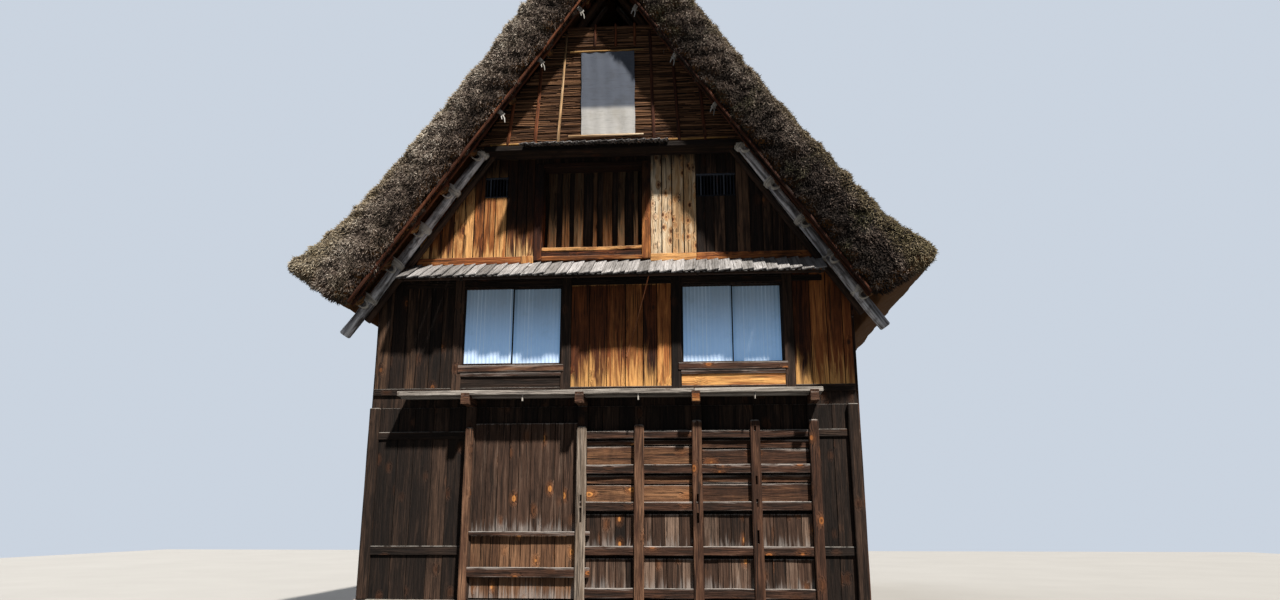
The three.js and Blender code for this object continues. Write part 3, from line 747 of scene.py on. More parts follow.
def slope_z(x, offset=0.0):
    """Height of the rafters' centre line, moved outwards by an offset square to the slope."""
    return APEX + offset / COS_PITCH - abs(x) * SLOPE


def under_roof():
    """The two planes that cut gable boards along the rafters."""
    peak = Vector((0, 0, slope_z(0, 0.07)))
    return [(peak, Vector((SLOPE, 0, 1))), (peak, Vector((-SLOPE, 0, 1)))]


print("gable faces at y =", round(-HALF_DEPTH, 3), round(HALF_DEPTH, 3))
print("side walls at x =", round(-HALF_WIDTH, 3), round(HALF_WIDTH, 3))

# %% Rows of boards
def upright_boards(bits, side, x0, x1, z0, z1, out=BACK, thick=0.02, widths=(0.2, 0.3), gap=0.009,
                   shares=None, ragged=0.0, **shape):
    """Upright boards side by side from x0 to x1, of random widths or of given shares."""
    if shares is None:
        shares = []
        while sum(shares) < (x1 - x0) - widths[0] / 2:
            shares.append(bits.dice.uniform(*widths))
    place = x0
    for share in shares:
        width = (x1 - x0) * share / sum(shares)
        proud = out + bits.dice.uniform(0, 0.004)
        low = z0 - bits.dice.uniform(0, ragged)
        gable_timber(bits, side, place + gap / 2, place + width - gap / 2, proud, proud + thick, low, z1,
                     **shape)
        place += width


def lying_boards(bits, side, x0, x1, z0, z1, out=BACK, thick=0.022, heights=(0.2, 0.3), gap=0.006):
    """Boards laid lengthwise one above the other."""
    place = z0
    while place < z1 - 0.04:
        height = min(bits.dice.uniform(*heights), z1 - place)
        proud = out + bits.dice.uniform(0, 0.006)
        gable_timber(bits, side, x0, x1, proud, proud + thick, place + gap / 2, place + height - gap / 2, "X",
                     wander=0.01)
        place += height


# %% [markdown]
# The house stands on a ring of field stones with heavy sill timbers on top. A stone starts as a cube
# that is cut up finely and pulled a third of the way to a ball, and then noise makes each different.

# %% Foundation stones
STONE_LENGTH = 0.62
STONE_WIDTH = 0.4
STONE_BALL = 0.56
STONE_ROUNDING = 0.34
STONE_LUMPS, STONE_LUMP_RATE = 0.1, 2.2
STONE_SHARES = (0.96, 1.06)


def field_stone(bits, middle, size):
    """One rounded stone that fills a size."""
    bit = bmesh.new()
    bmesh.ops.create_cube(bit, size=1)
    bmesh.ops.subdivide_edges(bit, edges=bit.edges[:], cuts=3, use_grid_fill=True)
    seed = bits.dice.uniform(*SEEDS)
    for vert in bit.verts:
        ball = vert.co.normalized() * STONE_BALL
        vert.co = vert.co.lerp(ball, STONE_ROUNDING)
        vert.co *= 1 + STONE_LUMPS * noise.noise(vert.co * STONE_LUMP_RATE + Vector((seed, 0, 0)))
        vert.co = Vector((min(0.5, max(-0.5, c)) for c in vert.co))
    bmesh.ops.scale(bit, verts=bit.verts, vec=size)
    bits.take(bit, Matrix.Translation(middle), smooth=True)


def stone_run(bits, start, end, across, tall):
    """Stones side by side from one corner to another."""
    along = (end - start).normalized()
    count = round((end - start).length / STONE_LENGTH)
    step = (end - start).length / count
    for n in range(count):
        length = step * bits.dice.uniform(*STONE_SHARES)
        size = Vector((length, across, tall)) if abs(along.x) > 0.5 else Vector((across, length, tall))
        field_stone(bits, start + along * step * (n + 0.5) + Vector((0, 0, tall / 2)), size)


stones = Bits("field_stones")
low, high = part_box("foundation_stones")
mid_x, mid_y = high.x - STONE_WIDTH / 2, high.y - STONE_WIDTH / 2
for side in (-1, 1):
    ends = [Vector((x, side * mid_y, 0)) for x in (-high.x, high.x)]
    stone_run(stones, *ends, STONE_WIDTH, high.z)
    ends = [Vector((side * mid_x, y, 0)) for y in (STONE_WIDTH - high.y, high.y - STONE_WIDTH)]
    stone_run(stones, *ends, STONE_WIDTH, high.z)

# %% Stone finish
stone_finish, tree, shader = new_finish("field stone", 0.9)
place = object_place(tree)
tone = carried(tree, "tone")
speck = patchy(tree, place, 0.03, detail=6.0, rough=0.7)
level = summed(tree, (speck, 0.7), (tone, 0.4))
colour = tinted(tree, level, [(0.25, (74, 70, 65)), (0.55, (122, 117, 109)), (0.8, (168, 163, 153))])
lichen = banded(tree, patchy(tree, place, 0.25), 0.55, 0.7)
colour = laid(tree, lichen, 0.4, colour, (96, 98, 76))
joined(tree, shader, colour, speck, 0.015)
stones.finish(stone_finish, "stone", "foundation_stones")

# %% Sill timbers
sills = Bits("sill_timbers")
low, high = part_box("sill_frame")
SILL_WIDE = 0.28
for side in (-1, 1):
    y = sorted((side * high.y, side * (high.y - SILL_WIDE)))
    x = sorted((side * high.x, side * (high.x - SILL_WIDE)))
    timber(sills, (-high.x, y[0], low.z), (high.x, y[1], high.z), "X", wander=0.012, wear=0.02)
    inner = high.y - SILL_WIDE
    timber(sills, (x[0], -inner, low.z), (x[1], inner, high.z), "Y", wander=0.012, wear=0.02)
sills.finish(dark_timber, "dark_timber", "sill_frame")

# %% [markdown]
# Behind everything on a gable's ground storey stands a wall of dark upright boards. On the front a
# second skin hides most of it: a screen against snow, with half-bay posts and five rails. Wide
# planks lie behind the upper rails and short upright boards behind the lower ones, all greyed.

# %% Boards of the ground storey
BEAM_X = (-2.238, -0.42, 1.398, 3.216)
POST_HALF = 0.08
MAIN_POSTS = (POST_HALF - HALF_WIDTH, *BEAM_X, HALF_WIDTH - POST_HALF)
SILL_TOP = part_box("sill_frame")[1].z
BEAM_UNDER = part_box("front_wall_frame")[1].z
DOORWAY = (BEAM_X[1] + POST_HALF, BEAM_X[2] - POST_HALF, 2.38)

for side, name in GABLES:
    boards = Bits(name + "_low_boards")
    for left, right in zip(MAIN_POSTS, MAIN_POSTS[1:]):
        bay = (left + POST_HALF, right - POST_HALF)
        foot = SILL_TOP
        if side == REAR and bay[0] == DOORWAY[0]:
            foot = DOORWAY[2] + 0.02
        upright_boards(boards, side, *bay, foot, BEAM_UNDER, widths=(0.19, 0.31))
    boards.finish(dark_timber if side == FRONT else brown_timber, "dark_timber")

# %% Snow screen: boards
SCREEN_Z = ((0.466, 0.614), (1.087, 1.225), (1.748, 1.886), (2.319, 2.457), (2.862, 2.98))
SCREEN_BACK = 0.078
BOARD_THICK = 0.02
SHORT_LAPS = (0.1, 0.045)
SHORT_WIDTHS = (0.16, 0.26)
LYING_RUNS = ((2, 0.09, (0.31, 0.4), 0.018), (3, 0.1, (0.3, 0.42), 0.022))
WIDE_BAY = (BEAM_X[0] + POST_HALF, BEAM_X[1] - POST_HALF)
WIDE_BAY_TOP = 3.12
WIDE_BAY_SHAPE = (0.06, BOARD_THICK, (0.15, 0.24))
LOWER_RAIL = (1.378, 1.442)

screen_boards = Bits("screen_boards")
lying = Bits("screen_lying_boards")
for left, right in ((BEAM_X[1], BEAM_X[2]), (BEAM_X[2], BEAM_X[3])):
    bay = (left + POST_HALF, right - POST_HALF)
    middle = (left + right) / 2
    for half in ((bay[0], middle - 0.01), (middle + 0.01, bay[1])):
        for (_, low_z), (high_z, _) in zip(SCREEN_Z[:2], SCREEN_Z[1:3]):
            upright_boards(screen_boards, FRONT, *half, low_z - SHORT_LAPS[0], high_z - SHORT_LAPS[1],
                           SCREEN_BACK, BOARD_THICK, SHORT_WIDTHS, ragged=0.01)
    for n, lap, heights, gap in LYING_RUNS:
        lying_boards(lying, FRONT, *bay, SCREEN_Z[n][1] - lap, SCREEN_Z[n + 1][0] - 0.02, SCREEN_BACK,
                     BOARD_THICK, heights, gap)
upright_boards(screen_boards, FRONT, *WIDE_BAY, LOWER_RAIL[1] - 0.04, WIDE_BAY_TOP, *WIDE_BAY_SHAPE,
               tone=0.45)
screen_boards.finish(greyed_timber, "brown_timber")
lying.finish(lying_timber, "brown_timber")
low_boards = Bits("wide_bay_low_boards")
upright_boards(low_boards, FRONT, *WIDE_BAY, SILL_TOP + 0.03, LOWER_RAIL[1] - 0.05, *WIDE_BAY_SHAPE)
low_boards.finish(tanned_boards, "brown_timber")

# %% Snow screen: a post with old slots
SCREEN_OUT = (0.11, 0.195)
SLOT_WIDE = 0.034
SLOT_DEEP = 0.06


def slotted_post(bits, x, half, top, slots=(), tone=None):
    """A post of the screen, with a worn top and the empty mortises of an older use."""
    deep = SCREEN_OUT[1] - SCREEN_OUT[0]
    bit = plank(bits.dice, top, deep, half * 2, wear=0.012, wander=0.009, crown=0.03)
    for middle, tall in slots:
        low, high = middle - tall / 2 - top / 2, middle + tall / 2 - top / 2
        for place, axis in ((low, 0), (high, 0), (-SLOT_WIDE / 2, 2), (SLOT_WIDE / 2, 2)):
            point, normal = Vector(), Vector()
            point[axis], normal[axis] = place, 1
            near = [f for f in bit.faces if abs(f.calc_center_median().x - (low + high) / 2) < 0.5]
            around = {e for f in near for e in f.edges}
            corners = {v for f in near for v in f.verts}
            bmesh.ops.bisect_plane(bit, geom=[*corners, *around, *near], plane_co=point, plane_no=normal)
        pit = [f for f in bit.faces if f.normal.y < -0.9 and abs(f.calc_center_median().z) < SLOT_WIDE / 2
               and low < f.calc_center_median().x < high]
        pushed = bmesh.ops.extrude_face_region(bit, geom=pit)
        verts = [v for v in pushed["geom"] if isinstance(v, bmesh.types.BMVert)]
        bmesh.ops.translate(bit, verts=verts, vec=(0, SLOT_DEEP, 0))
        bmesh.ops.delete(bit, geom=pit, context="FACES")
    middle = Vector((x, gable_y(FRONT, sum(SCREEN_OUT) / 2), top / 2))
    upright = Matrix(((0, 0, -1), (0, 1, 0), (1, 0, 0))).to_4x4()
    bits.take(bit, Matrix.Translation(middle) @ upright, tone)


# %% Snow screen: posts and rails
SCREEN_X = (-0.42, 0.489, 1.398, 2.307, 3.216)
SCREEN_TOP = (3.06, 3.08, 3.145, 3.14, 3.14)
SCREEN_TONES = (0.45, 0.6, 0.45, 0.3, 0.3)
SCREEN_HALF = 0.077
RAIL_OUT = (0.12, 0.165)
LEFT_POST_HALF = 0.06
LEFT_RAILS = ((0.762, 0.91), LOWER_RAIL)
SLOTS = {0: ((1.91, 0.17), (1.69, 0.22)), 2: ((1.93, 0.15), (1.645, 0.15)),
         3: ((3.0, 0.08), (2.21, 0.13), (1.867, 0.12), (1.366, 0.2))}

screen = Bits("snow_screen")
bare_post = Bits("bleached_post")
for i, (x, top, tone) in enumerate(zip(SCREEN_X, SCREEN_TOP, SCREEN_TONES)):
    slotted_post(screen if i else bare_post, x, SCREEN_HALF, top, SLOTS.get(i, ()), tone)
bare_post.finish(bleached_timber, "grey_timber")
slotted_post(screen, BEAM_X[0], LEFT_POST_HALF, SCREEN_TOP[0])
rail_ends = (SCREEN_X[0] - SCREEN_HALF, SCREEN_X[4] + SCREEN_HALF)
for low_z, high_z in SCREEN_Z:
    gable_timber(screen, FRONT, *rail_ends, *RAIL_OUT, low_z, high_z, "X", wear=0.008, wander=0.014)
left_ends = (BEAM_X[0] - LEFT_POST_HALF, SCREEN_X[0] + SCREEN_HALF + 0.07)
for low_z, high_z in LEFT_RAILS:
    gable_timber(screen, FRONT, *left_ends, *RAIL_OUT, low_z, high_z, "X", wear=0.007)
screen.finish(brown_timber, "brown_timber", "front_lattice")

# %% Main posts and rails behind the screen, and the frame of the rear wall
WALL_RAILS = ((1.08, 1.22), (2.88, 3.0))
POST_OUT = 0.11
WALL_RAIL_OUT = (0.012, 0.055)


def wall_posts(bits, side, centres, x0, x1):
    """Posts at given centres, and the wall's two rails from x0 to x1."""
    for x in centres:
        gable_timber(bits, side, x - POST_HALF, x + POST_HALF, 0, POST_OUT, SILL_TOP, BEAM_UNDER, wear=0.012)
    for low_z, high_z in WALL_RAILS:
        gable_timber(bits, side, x0, x1, *WALL_RAIL_OUT, low_z, high_z, "X", wear=0.008, wander=0.008)


posts = Bits("front_main_posts")
wall_posts(posts, FRONT, MAIN_POSTS, -HALF_WIDTH, HALF_WIDTH)
posts.finish(dark_timber, "dark_timber", "front_wall_frame")

posts = Bits("rear_main_posts")
wall_posts(posts, REAR, MAIN_POSTS[:3], -HALF_WIDTH, DOORWAY[0])
wall_posts(posts, REAR, MAIN_POSTS[3:], DOORWAY[1], HALF_WIDTH)
gable_timber(posts, REAR, *DOORWAY[:2], 0, WALL_RAIL_OUT[1], DOORWAY[2], DOORWAY[2] + 0.14, "X")
gable_timber(posts, REAR, *DOORWAY[:2], *WALL_RAIL_OUT, *WALL_RAILS[1], "X")
door_x = (DOORWAY[0] + DOORWAY[1]) / 2
gable_timber(posts, REAR, door_x - 0.05, door_x + 0.05, *WALL_RAIL_OUT, DOORWAY[2], WALL_RAILS[1][1])
posts.finish(brown_timber, "brown_timber", "rear_frame_left", "rear_frame_right", "rear_door_lintel")

# %% Sliding entrance doors at the rear
DOOR_PLANKS = 4
DOOR_RAILS = (0.12, 0.9, 1.72)
DOOR_RAIL_TALL = 0.1
DOOR_STILE = 0.06

for name in ("entrance_door_outer", "entrance_door_inner"):
    low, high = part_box(name)
    door = Bits(name + "_planks")
    step = (high.x - low.x) / DOOR_PLANKS
    for n in range(DOOR_PLANKS):
        timber(door, (low.x + n * step + 0.002, low.y + 0.008, low.z),
               (low.x + (n + 1) * step - 0.002, high.y - 0.012, high.z))
    for height in DOOR_RAILS:
        timber(door, (low.x, high.y - 0.014, low.z + height),
               (high.x, high.y, low.z + height + DOOR_RAIL_TALL), "X")
    for x in (low.x, high.x - DOOR_STILE):
        timber(door, (x, high.y - 0.015, low.z), (x + DOOR_STILE, high.y, high.z))
    door.finish(brown_timber, "brown_timber", name)

# %% [markdown]
# The long side walls repeat the ground storey: a post at every bay, two rails, upright boards and a
# plate at the top that carries the feet of the rafters. One short function turns a distance along
# the wall and a distance out of it into a timber.

# %% Side walls
KEN = 1.818
SIDE_POSTS = [(n - 3.5) * KEN for n in range(8)]
SIDE_END = HALF_DEPTH - 0.09
SIDE_WINDOW = (0.82, 1.5, 2.8)
CASING = (0, 0.045)
CASING_WIDE, CASING_TALL = 0.05, 0.07
SIDE_OUT = 0.05
SIDE_RAIL_OUT = (0.005, 0.04)
PLATE_BACK = -0.19
PLATE_TALL = 0.22


def side_timber(bits, side, y0, y1, near, far, z0, z1, along="Z", **shape):
    """A timber on a side wall, between two distances out of its face."""
    timber(bits, (side * (HALF_WIDTH + near), y0, z0), (side * (HALF_WIDTH + far), y1, z1), along, **shape)


for side, name in HALVES:
    low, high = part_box(name + "_wall_frame")
    plate_foot = high.z - PLATE_TALL
    posts = Bits(name + "_side_frame")
    centres = [max(POST_HALF - SIDE_END, min(SIDE_END - POST_HALF, y)) for y in SIDE_POSTS]
    for y in centres:
        side_timber(posts, side, y - POST_HALF, y + POST_HALF, 0, SIDE_OUT, SILL_TOP, plate_foot, wear=0.012)
    for low_z, high_z in WALL_RAILS:
        side_timber(posts, side, -SIDE_END, SIDE_END, *SIDE_RAIL_OUT, low_z, high_z, "Y", wander=0.008)
    side_timber(posts, side, -SIDE_END, SIDE_END, PLATE_BACK, SIDE_OUT, plate_foot, high.z, "Y", wander=0.01)
    half, foot, head = SIDE_WINDOW
    for z0, z1 in ((foot - CASING_TALL, foot), (head, head + CASING_TALL)):
        side_timber(posts, side, -half - CASING_WIDE, half + CASING_WIDE, *CASING, z0, z1, "Y")
    for y0 in (-half - CASING_WIDE, half):
        side_timber(posts, side, y0, y0 + CASING_WIDE, *CASING, foot, head)
    posts.finish(brown_timber, "brown_timber", name + "_wall_frame")

    boards = Bits(name + "_side_boards")
    for y0, y1 in zip(centres, centres[1:]):
        y = y0 + POST_HALF
        while y < y1 - 0.1:
            width = min(boards.dice.uniform(0.19, 0.3), y1 - POST_HALF - y)
            lengths = [(SILL_TOP, plate_foot)]
            if y0 < 0 < y1:
                lengths = [(SILL_TOP, foot - CASING_TALL), (head + CASING_TALL, plate_foot)]
            for z0, z1 in lengths:
                side_timber(boards, side, y + 0.002, y + width - 0.002, BACK, 0.022, z0, z1)
            y += width
    boards.finish(greyed_timber, "dark_timber")

# %% [markdown]
# The ledge under the windows is two lengths of pale planks, end to end over the beams that carry it,
# with short pins that hang from it. It shows as one bright line right across the front, and one of
# the beam ends under it is new and orange.

# %% Ledges
LEDGE_Z = (3.5, 3.6)
LEDGE_JOINT = 1.372
LEDGE_UNDER = LEDGE_Z[1] - 0.072
FRESH_BEAM = BEAM_X[2]
LEDGE_OUT = ((0.0, 0.24), (0.245, 0.5))
PIN_X = (-1.329, 0.501, 2.307)
LEDGE_BEAM_OUT = (0.28, 0.36)
PIN_HALF = 0.012
PIN_OUT = (0.45, 0.474)
PIN_Z = (LEDGE_UNDER - 0.1, LEDGE_UNDER + 0.01)
BEAM_END_HALF = 0.066
BEAM_END_OUT = (0.492, 0.531)

for side, name in GABLES:
    low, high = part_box(name + "_ledge")
    ledge = Bits(name + "_ledge_planks")
    for x0, x1 in ((low.x, LEDGE_JOINT - 0.004), (LEDGE_JOINT + 0.004, high.x)):
        for near, far in LEDGE_OUT:
            gable_timber(ledge, side, x0, x1, near, far, LEDGE_UNDER, LEDGE_Z[1], "X", wander=0.01)
        gable_timber(ledge, side, x0 + 0.02, x1 - 0.02, *LEDGE_BEAM_OUT, LEDGE_Z[0], LEDGE_UNDER, "X")
    for x in PIN_X:
        gable_timber(ledge, side, x - PIN_HALF, x + PIN_HALF, *PIN_OUT, *PIN_Z)
    ledge.finish(ledge_timber, "grey_timber", name + "_ledge")
    beam_ends = Bits(name + "_beam_ends")
    fresh_end = Bits(name + "_fresh_beam_end")
    for x in BEAM_X:
        gable_timber(fresh_end if x == FRESH_BEAM else beam_ends, side, x - BEAM_END_HALF, x + BEAM_END_HALF,
                     *BEAM_END_OUT, BEAM_UNDER, LEDGE_UNDER, "X", tone=0.5, wear=0.01)
    beam_ends.finish(brown_timber, "brown_timber")
    fresh_end.finish(orange_timber, "sunlit_boards")

# %% [markdown]
# The window storey has two wide openings between dark posts. Boards fill the rest: six in the middle, three
# and a bit on the right, and very dark ones on the left, whose dark is painted shade. The middle and right
# ones carry a wide pale band at the foot, which is painted sunlight. The outer ones are cut along the rafters
# where the roof comes down. The wall solid behind hardly shows, so it has a dark finish.

# %% Boards of the window storey
WINDOW_POSTS = (-2.547, -0.729, 1.089, 2.907)
WINDOWS = ((-2.455, -0.82), (1.18, 2.815))
FOOT_RAIL = (3.6, 3.71)
WINDOW_SILL = (3.97, 4.08)
HEAD_RAIL = (5.42, 5.52)
STOREY_TOP = 5.78
STOREY_END = HALF_WIDTH - 0.01
WINDOW_POST_TOP = 5.6
HEAD_RAIL_END = 3.48
WINDOW_RAIL_OUT = (0.004, 0.035)
SEAM = 0.013
MIDDLE_SHARES = (19, 18, 19, 18, 14, 15)
RIGHT_SHARES = (22, 21, 20, 12)
clips = under_roof()
CUT = {"clips": clips, "gap": SEAM}

for side, name in GABLES:
    boards = Bits(name + "_window_boards")
    edges = [x + POST_HALF * way for x in WINDOW_POSTS for way in (-1, 1)]
    upright_boards(boards, side, edges[3], edges[4], FOOT_RAIL[1], HEAD_RAIL[0], shares=MIDDLE_SHARES,
                   gap=SEAM)
    upright_boards(boards, side, edges[7], STOREY_END, FOOT_RAIL[1], STOREY_TOP, shares=RIGHT_SHARES, **CUT)
    x0, x1 = edges[5], edges[6]
    gable_timber(boards, side, x0, x1, BACK, 0.025, FOOT_RAIL[1], WINDOW_SILL[0] - 0.02, "X", tone=0.75,
                 wander=0.012)
    boards.finish(russet_boards, "sunlit_boards")
    # Very dark boards on the left: painted shade.
    darkened = Bits(name + "_window_smoky_boards")
    upright_boards(darkened, side, -STOREY_END, edges[0], FOOT_RAIL[1], STOREY_TOP, **CUT)
    darkened.finish(shadowed_boards, "dark_timber")
    dark = Bits(name + "_window_dark_boards")
    gable_timber(dark, side, edges[1], edges[2], BACK, 0.02, FOOT_RAIL[1], WINDOW_SILL[0], "X")
    for x0, x1 in zip(edges[1:-1:2], edges[2::2]):
        gable_timber(dark, side, x0, x1, BACK, 0.02, HEAD_RAIL[1], STOREY_TOP - 0.05, "X")
    dark.finish(dark_timber, "dark_timber")

    timbers = Bits(name + "_window_timbers")
    for x in WINDOW_POSTS:
        gable_timber(timbers, side, x - POST_HALF, x + POST_HALF, 0, 0.045, FOOT_RAIL[0], WINDOW_POST_TOP,
                     wear=0.009)
    gable_timber(timbers, side, -HEAD_RAIL_END, HEAD_RAIL_END, *WINDOW_RAIL_OUT, *HEAD_RAIL, "X",
                 wander=0.006)
    gable_timber(timbers, side, -STOREY_END, STOREY_END, *WINDOW_RAIL_OUT, *FOOT_RAIL, "X")
    timbers.finish(dark_timber, "dark_timber", name + "_window_frame")
    sills_bits = Bits(name + "_window_sills")
    for x0, x1 in WINDOWS:
        gable_timber(sills_bits, side, x0 - 0.06, x1 + 0.06, -0.01, 0.065, *WINDOW_SILL, "X", tone=0.45,
                     wander=0.008)
        gable_timber(sills_bits, side, x0 - 0.02, x1 + 0.02, BACK, 0.05, WINDOW_SILL[0] - 0.075,
                     WINDOW_SILL[0] - 0.01, "X", tone=0.2)
    sills_bits.finish(brown_timber, "brown_timber")

# %% [markdown]
# Behind the openings slide light sashes covered with a corrugated sheet, pale and a little blue in the shade.
# The folds are real: a grid is cut finely, bent into waves and given its thickness. Their crests are painted
# paler than their hollows, which is a painted highlight. The sheet is thin enough for daylight from the far
# side of the room to show through it, bluer towards the foot and hardly at all downstairs. A faint painted
# glow, an emission of its own, stands for that, brighter on the crests. Faint upright lines stand for the
# dirt on it. The left pair stands a little further out, where the sun just reaches under the pent roof, and
# the right pair a little deeper.

# %% Corrugated sheet finish
THROUGH_Z = (4.2, 5.3)
UPSTAIRS_Z = (3.0, 3.6)
sheet_finish, tree, shader = new_finish("corrugated sheet", 0.5)
place = object_place(tree)
lines = patchy(tree, place, 0.09, (1, 1, 30), 2.0)
fold = carried(tree, "tone")
# Paler on the crests of the folds than in the hollows: painted highlight.
colour = mixed(tree, banded(tree, fold, 0.75, 1.0), paint(196, 211, 230), paint(234, 239, 246))
colour = laid(tree, banded(tree, lines, 0.4, 0.7), 0.4, colour, (170, 190, 214))
dust = patchy(tree, place, 0.4, detail=5.0, rough=0.7)
colour = laid(tree, banded(tree, dust, 0.5, 0.75), 0.35, colour, (164, 172, 176))
height = height_of(tree, place)
# A painted glow: bluer towards the foot, brighter on the crests of the folds, and dim downstairs.
through = mixed(tree, banded(tree, height, *THROUGH_Z), paint(112, 166, 220), paint(43, 70, 87))
through = laid(tree, banded(tree, fold, 0.6, 1.0), 0.3, through, (140, 176, 206))
through = mixed(tree, banded(tree, height, *UPSTAIRS_Z), paint(58, 86, 106), through)
tree.links.new(through, shader.inputs["Emission Color"])
shader.inputs["Emission Strength"].default_value = 0.4
shader.inputs["Specular IOR Level"].default_value = 0.35
joined(tree, shader, colour, lines, 0.002)
print("sheet finish:", len(tree.nodes), "nodes")

# %% A folded sheet and a sash
FOLD_PITCH = 0.062
FOLD_DEPTH = 0.005
BAR = 0.02


def folded_sheet(bits, low, high, across):
    """A corrugated sheet that fills the room between two corners, its folds upright."""
    axis = "XY".index(across)
    width, tall = high[axis] - low[axis], high.z - low.z
    folds = round(width / FOLD_PITCH)
    bit = bmesh.new()
    bmesh.ops.create_grid(bit, x_segments=folds * 6, y_segments=2, size=0.5)
    bmesh.ops.scale(bit, verts=bit.verts, vec=(width, tall, 1))
    tones = bit.verts.layers.float.new("tone")
    middle = (low + high) / 2
    for vert in bit.verts:
        wave = math.sin(2 * math.pi * folds * (vert.co.x / width + 0.5))
        shine = 0.6 + 0.9 * noise.noise(Vector((vert.co.x * 6, middle.x, middle.y)))
        vert.co.z = FOLD_DEPTH * wave
        # A higher tone on the crests and a lower one in the hollows, varied along the sheet: painted
        # highlight and painted shade, read by the finish.
        vert[tones] = 0.5 + 0.5 * wave * min(1.0, max(0.1, shine))
    bmesh.ops.solidify(bit, geom=bit.faces[:], thickness=0.002)
    if across == "X":
        turn = Matrix.Rotation(math.pi / 2, 4, "X")
    else:
        turn = Matrix(((0, 0, 1), (1, 0, 0), (0, 1, 0))).to_4x4()
    bits.take(bit, Matrix.Translation(middle) @ turn, smooth=True)


def sash(sheets, bars, low, high, across):
    """One sliding sash: four slim bars round a folded sheet."""
    axis = "XY".index(across)
    step = Vector((BAR, 0, 0)) if axis == 0 else Vector((0, BAR, 0))
    rise = Vector((0, 0, BAR))
    tall = Vector((0, 0, high.z - low.z))
    span = Vector([high[i] - low[i] if i == axis else 0 for i in range(3)])
    thick = high - low - span - tall
    timber(bars, low, low + step + thick + tall, wander=0.001)
    timber(bars, low + span - step, high, wander=0.001)
    timber(bars, low + step, low + span - step + thick + rise, across, wander=0.001)
    timber(bars, low + step + Vector((0, 0, high.z - low.z - BAR)), high - step, across, wander=0.001)
    inset = step * 0.6 + rise * 0.6 + thick * 0.3
    folded_sheet(sheets, low + inset, high - inset, across)


# %% Sashes
bars = Bits("sash_bars")
PAIR_OUT = {"left": 0.03, "right": -0.04}
for n in range(1, 5):
    sheets = Bits(f"sash_sheet_{n}")
    forward = Vector((0, -PAIR_OUT["left" if n < 3 else "right"], 0))
    sash(sheets, bars, *(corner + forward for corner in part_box(f"front_sash_{n}")), "X")
    sheets.finish(sheet_finish, "sash_sheet", f"front_sash_{n}")
SASH_THICK = 0.032
SASH_LAP = 0.019
PAIRS = {"rear_window_left": "X", "rear_window_right": "X", "left_window_pair": "Y", "right_window_pair": "Y"}

for name, across in PAIRS.items():
    low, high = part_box(name)
    axis = "XY".index(across)
    lap = (low[axis] + high[axis]) / 2
    sheets = Bits(name + "_sheets")
    first_high, second_low = high.copy(), low.copy()
    first_high[axis], second_low[axis] = lap + SASH_LAP, lap - SASH_LAP
    first_high[1 - axis] = low[1 - axis] + SASH_THICK
    second_low[1 - axis] = high[1 - axis] - SASH_THICK
    sash(sheets, bars, low, first_high, across)
    sash(sheets, bars, second_low, high, across)
    sheets.finish(sheet_finish, "sash_sheet", name)
bars.finish(dark_timber, "dark_timber")

# %% [markdown]
# The third storey mixes three woods: orange boards on the left, four pale knotty ones right of the recess,
# and very dark ones beyond, whose dark is painted shade. Their feet stand on a rail of old and new lengths.
# Two small vents are closed with upright bars. The recess is a deep timber box with seven uneven slats at its
# back, and dark gaps between them. A twig leans on the boards under it. The orange boards, the slats and the
# recess timbers turn black high up, and the orange boards and slats are pale at the foot: painted shade and
# painted light.

# %% Boards of the third storey
THIRD_Z = (5.94, 7.72)
RECESS_X = (-1.32, 0.67)
VENTS = ((-2.2, -1.8, 7.02, 7.4), (1.45, 2.12, 6.94, 7.36))
PALE_END = 1.45
THIRD_END = 3.3
WIDE_SEAM = 0.017
FOOT_Z = 5.81
FOOT_OUT = (BACK, 0.054)
FOOT_END = 3.33
FOOT_BOARD = -1.53
RAIL_JOINT = 1.445
LEFT_VENT, RIGHT_VENT = VENTS
NARROW = {"widths": (0.14, 0.22)}
PALE_SHARES = {"shares": (19, 17, 20, 21)}
THIRD_BOARDS = (
    ("orange", orange_boards, "sunlit_boards", NARROW,
     ((-THIRD_END, LEFT_VENT[0], *THIRD_Z, clips), (*LEFT_VENT[:2], THIRD_Z[0], LEFT_VENT[2], ()),
      (*LEFT_VENT[:2], LEFT_VENT[3], THIRD_Z[1], clips))),
    ("sooty", shaded_boards, "sunlit_boards", NARROW, ((LEFT_VENT[1], RECESS_X[0], *THIRD_Z, ()),)),
    ("pale", knotty_boards, "pale_pole", PALE_SHARES, ((RECESS_X[1], PALE_END, *THIRD_Z, ()),)),
    ("dark", shadowed_boards, "dark_timber", NARROW,
     ((*RIGHT_VENT[:2], THIRD_Z[0], RIGHT_VENT[2], ()), (*RIGHT_VENT[:2], RIGHT_VENT[3], THIRD_Z[1], clips),
      (RIGHT_VENT[1], THIRD_END, *THIRD_Z, clips))),
)
OLD_RAILS = ((-FOOT_END, FOOT_BOARD, 0.45), (RAIL_JOINT, FOOT_END, 0.5))
NEW_RAILS = ((RECESS_X[1], RAIL_JOINT - 0.005, THIRD_Z[0], "X", 0.8),
             (FOOT_BOARD + 0.004, RECESS_X[0], THIRD_Z[0] + 0.01, "Z", 0.7))

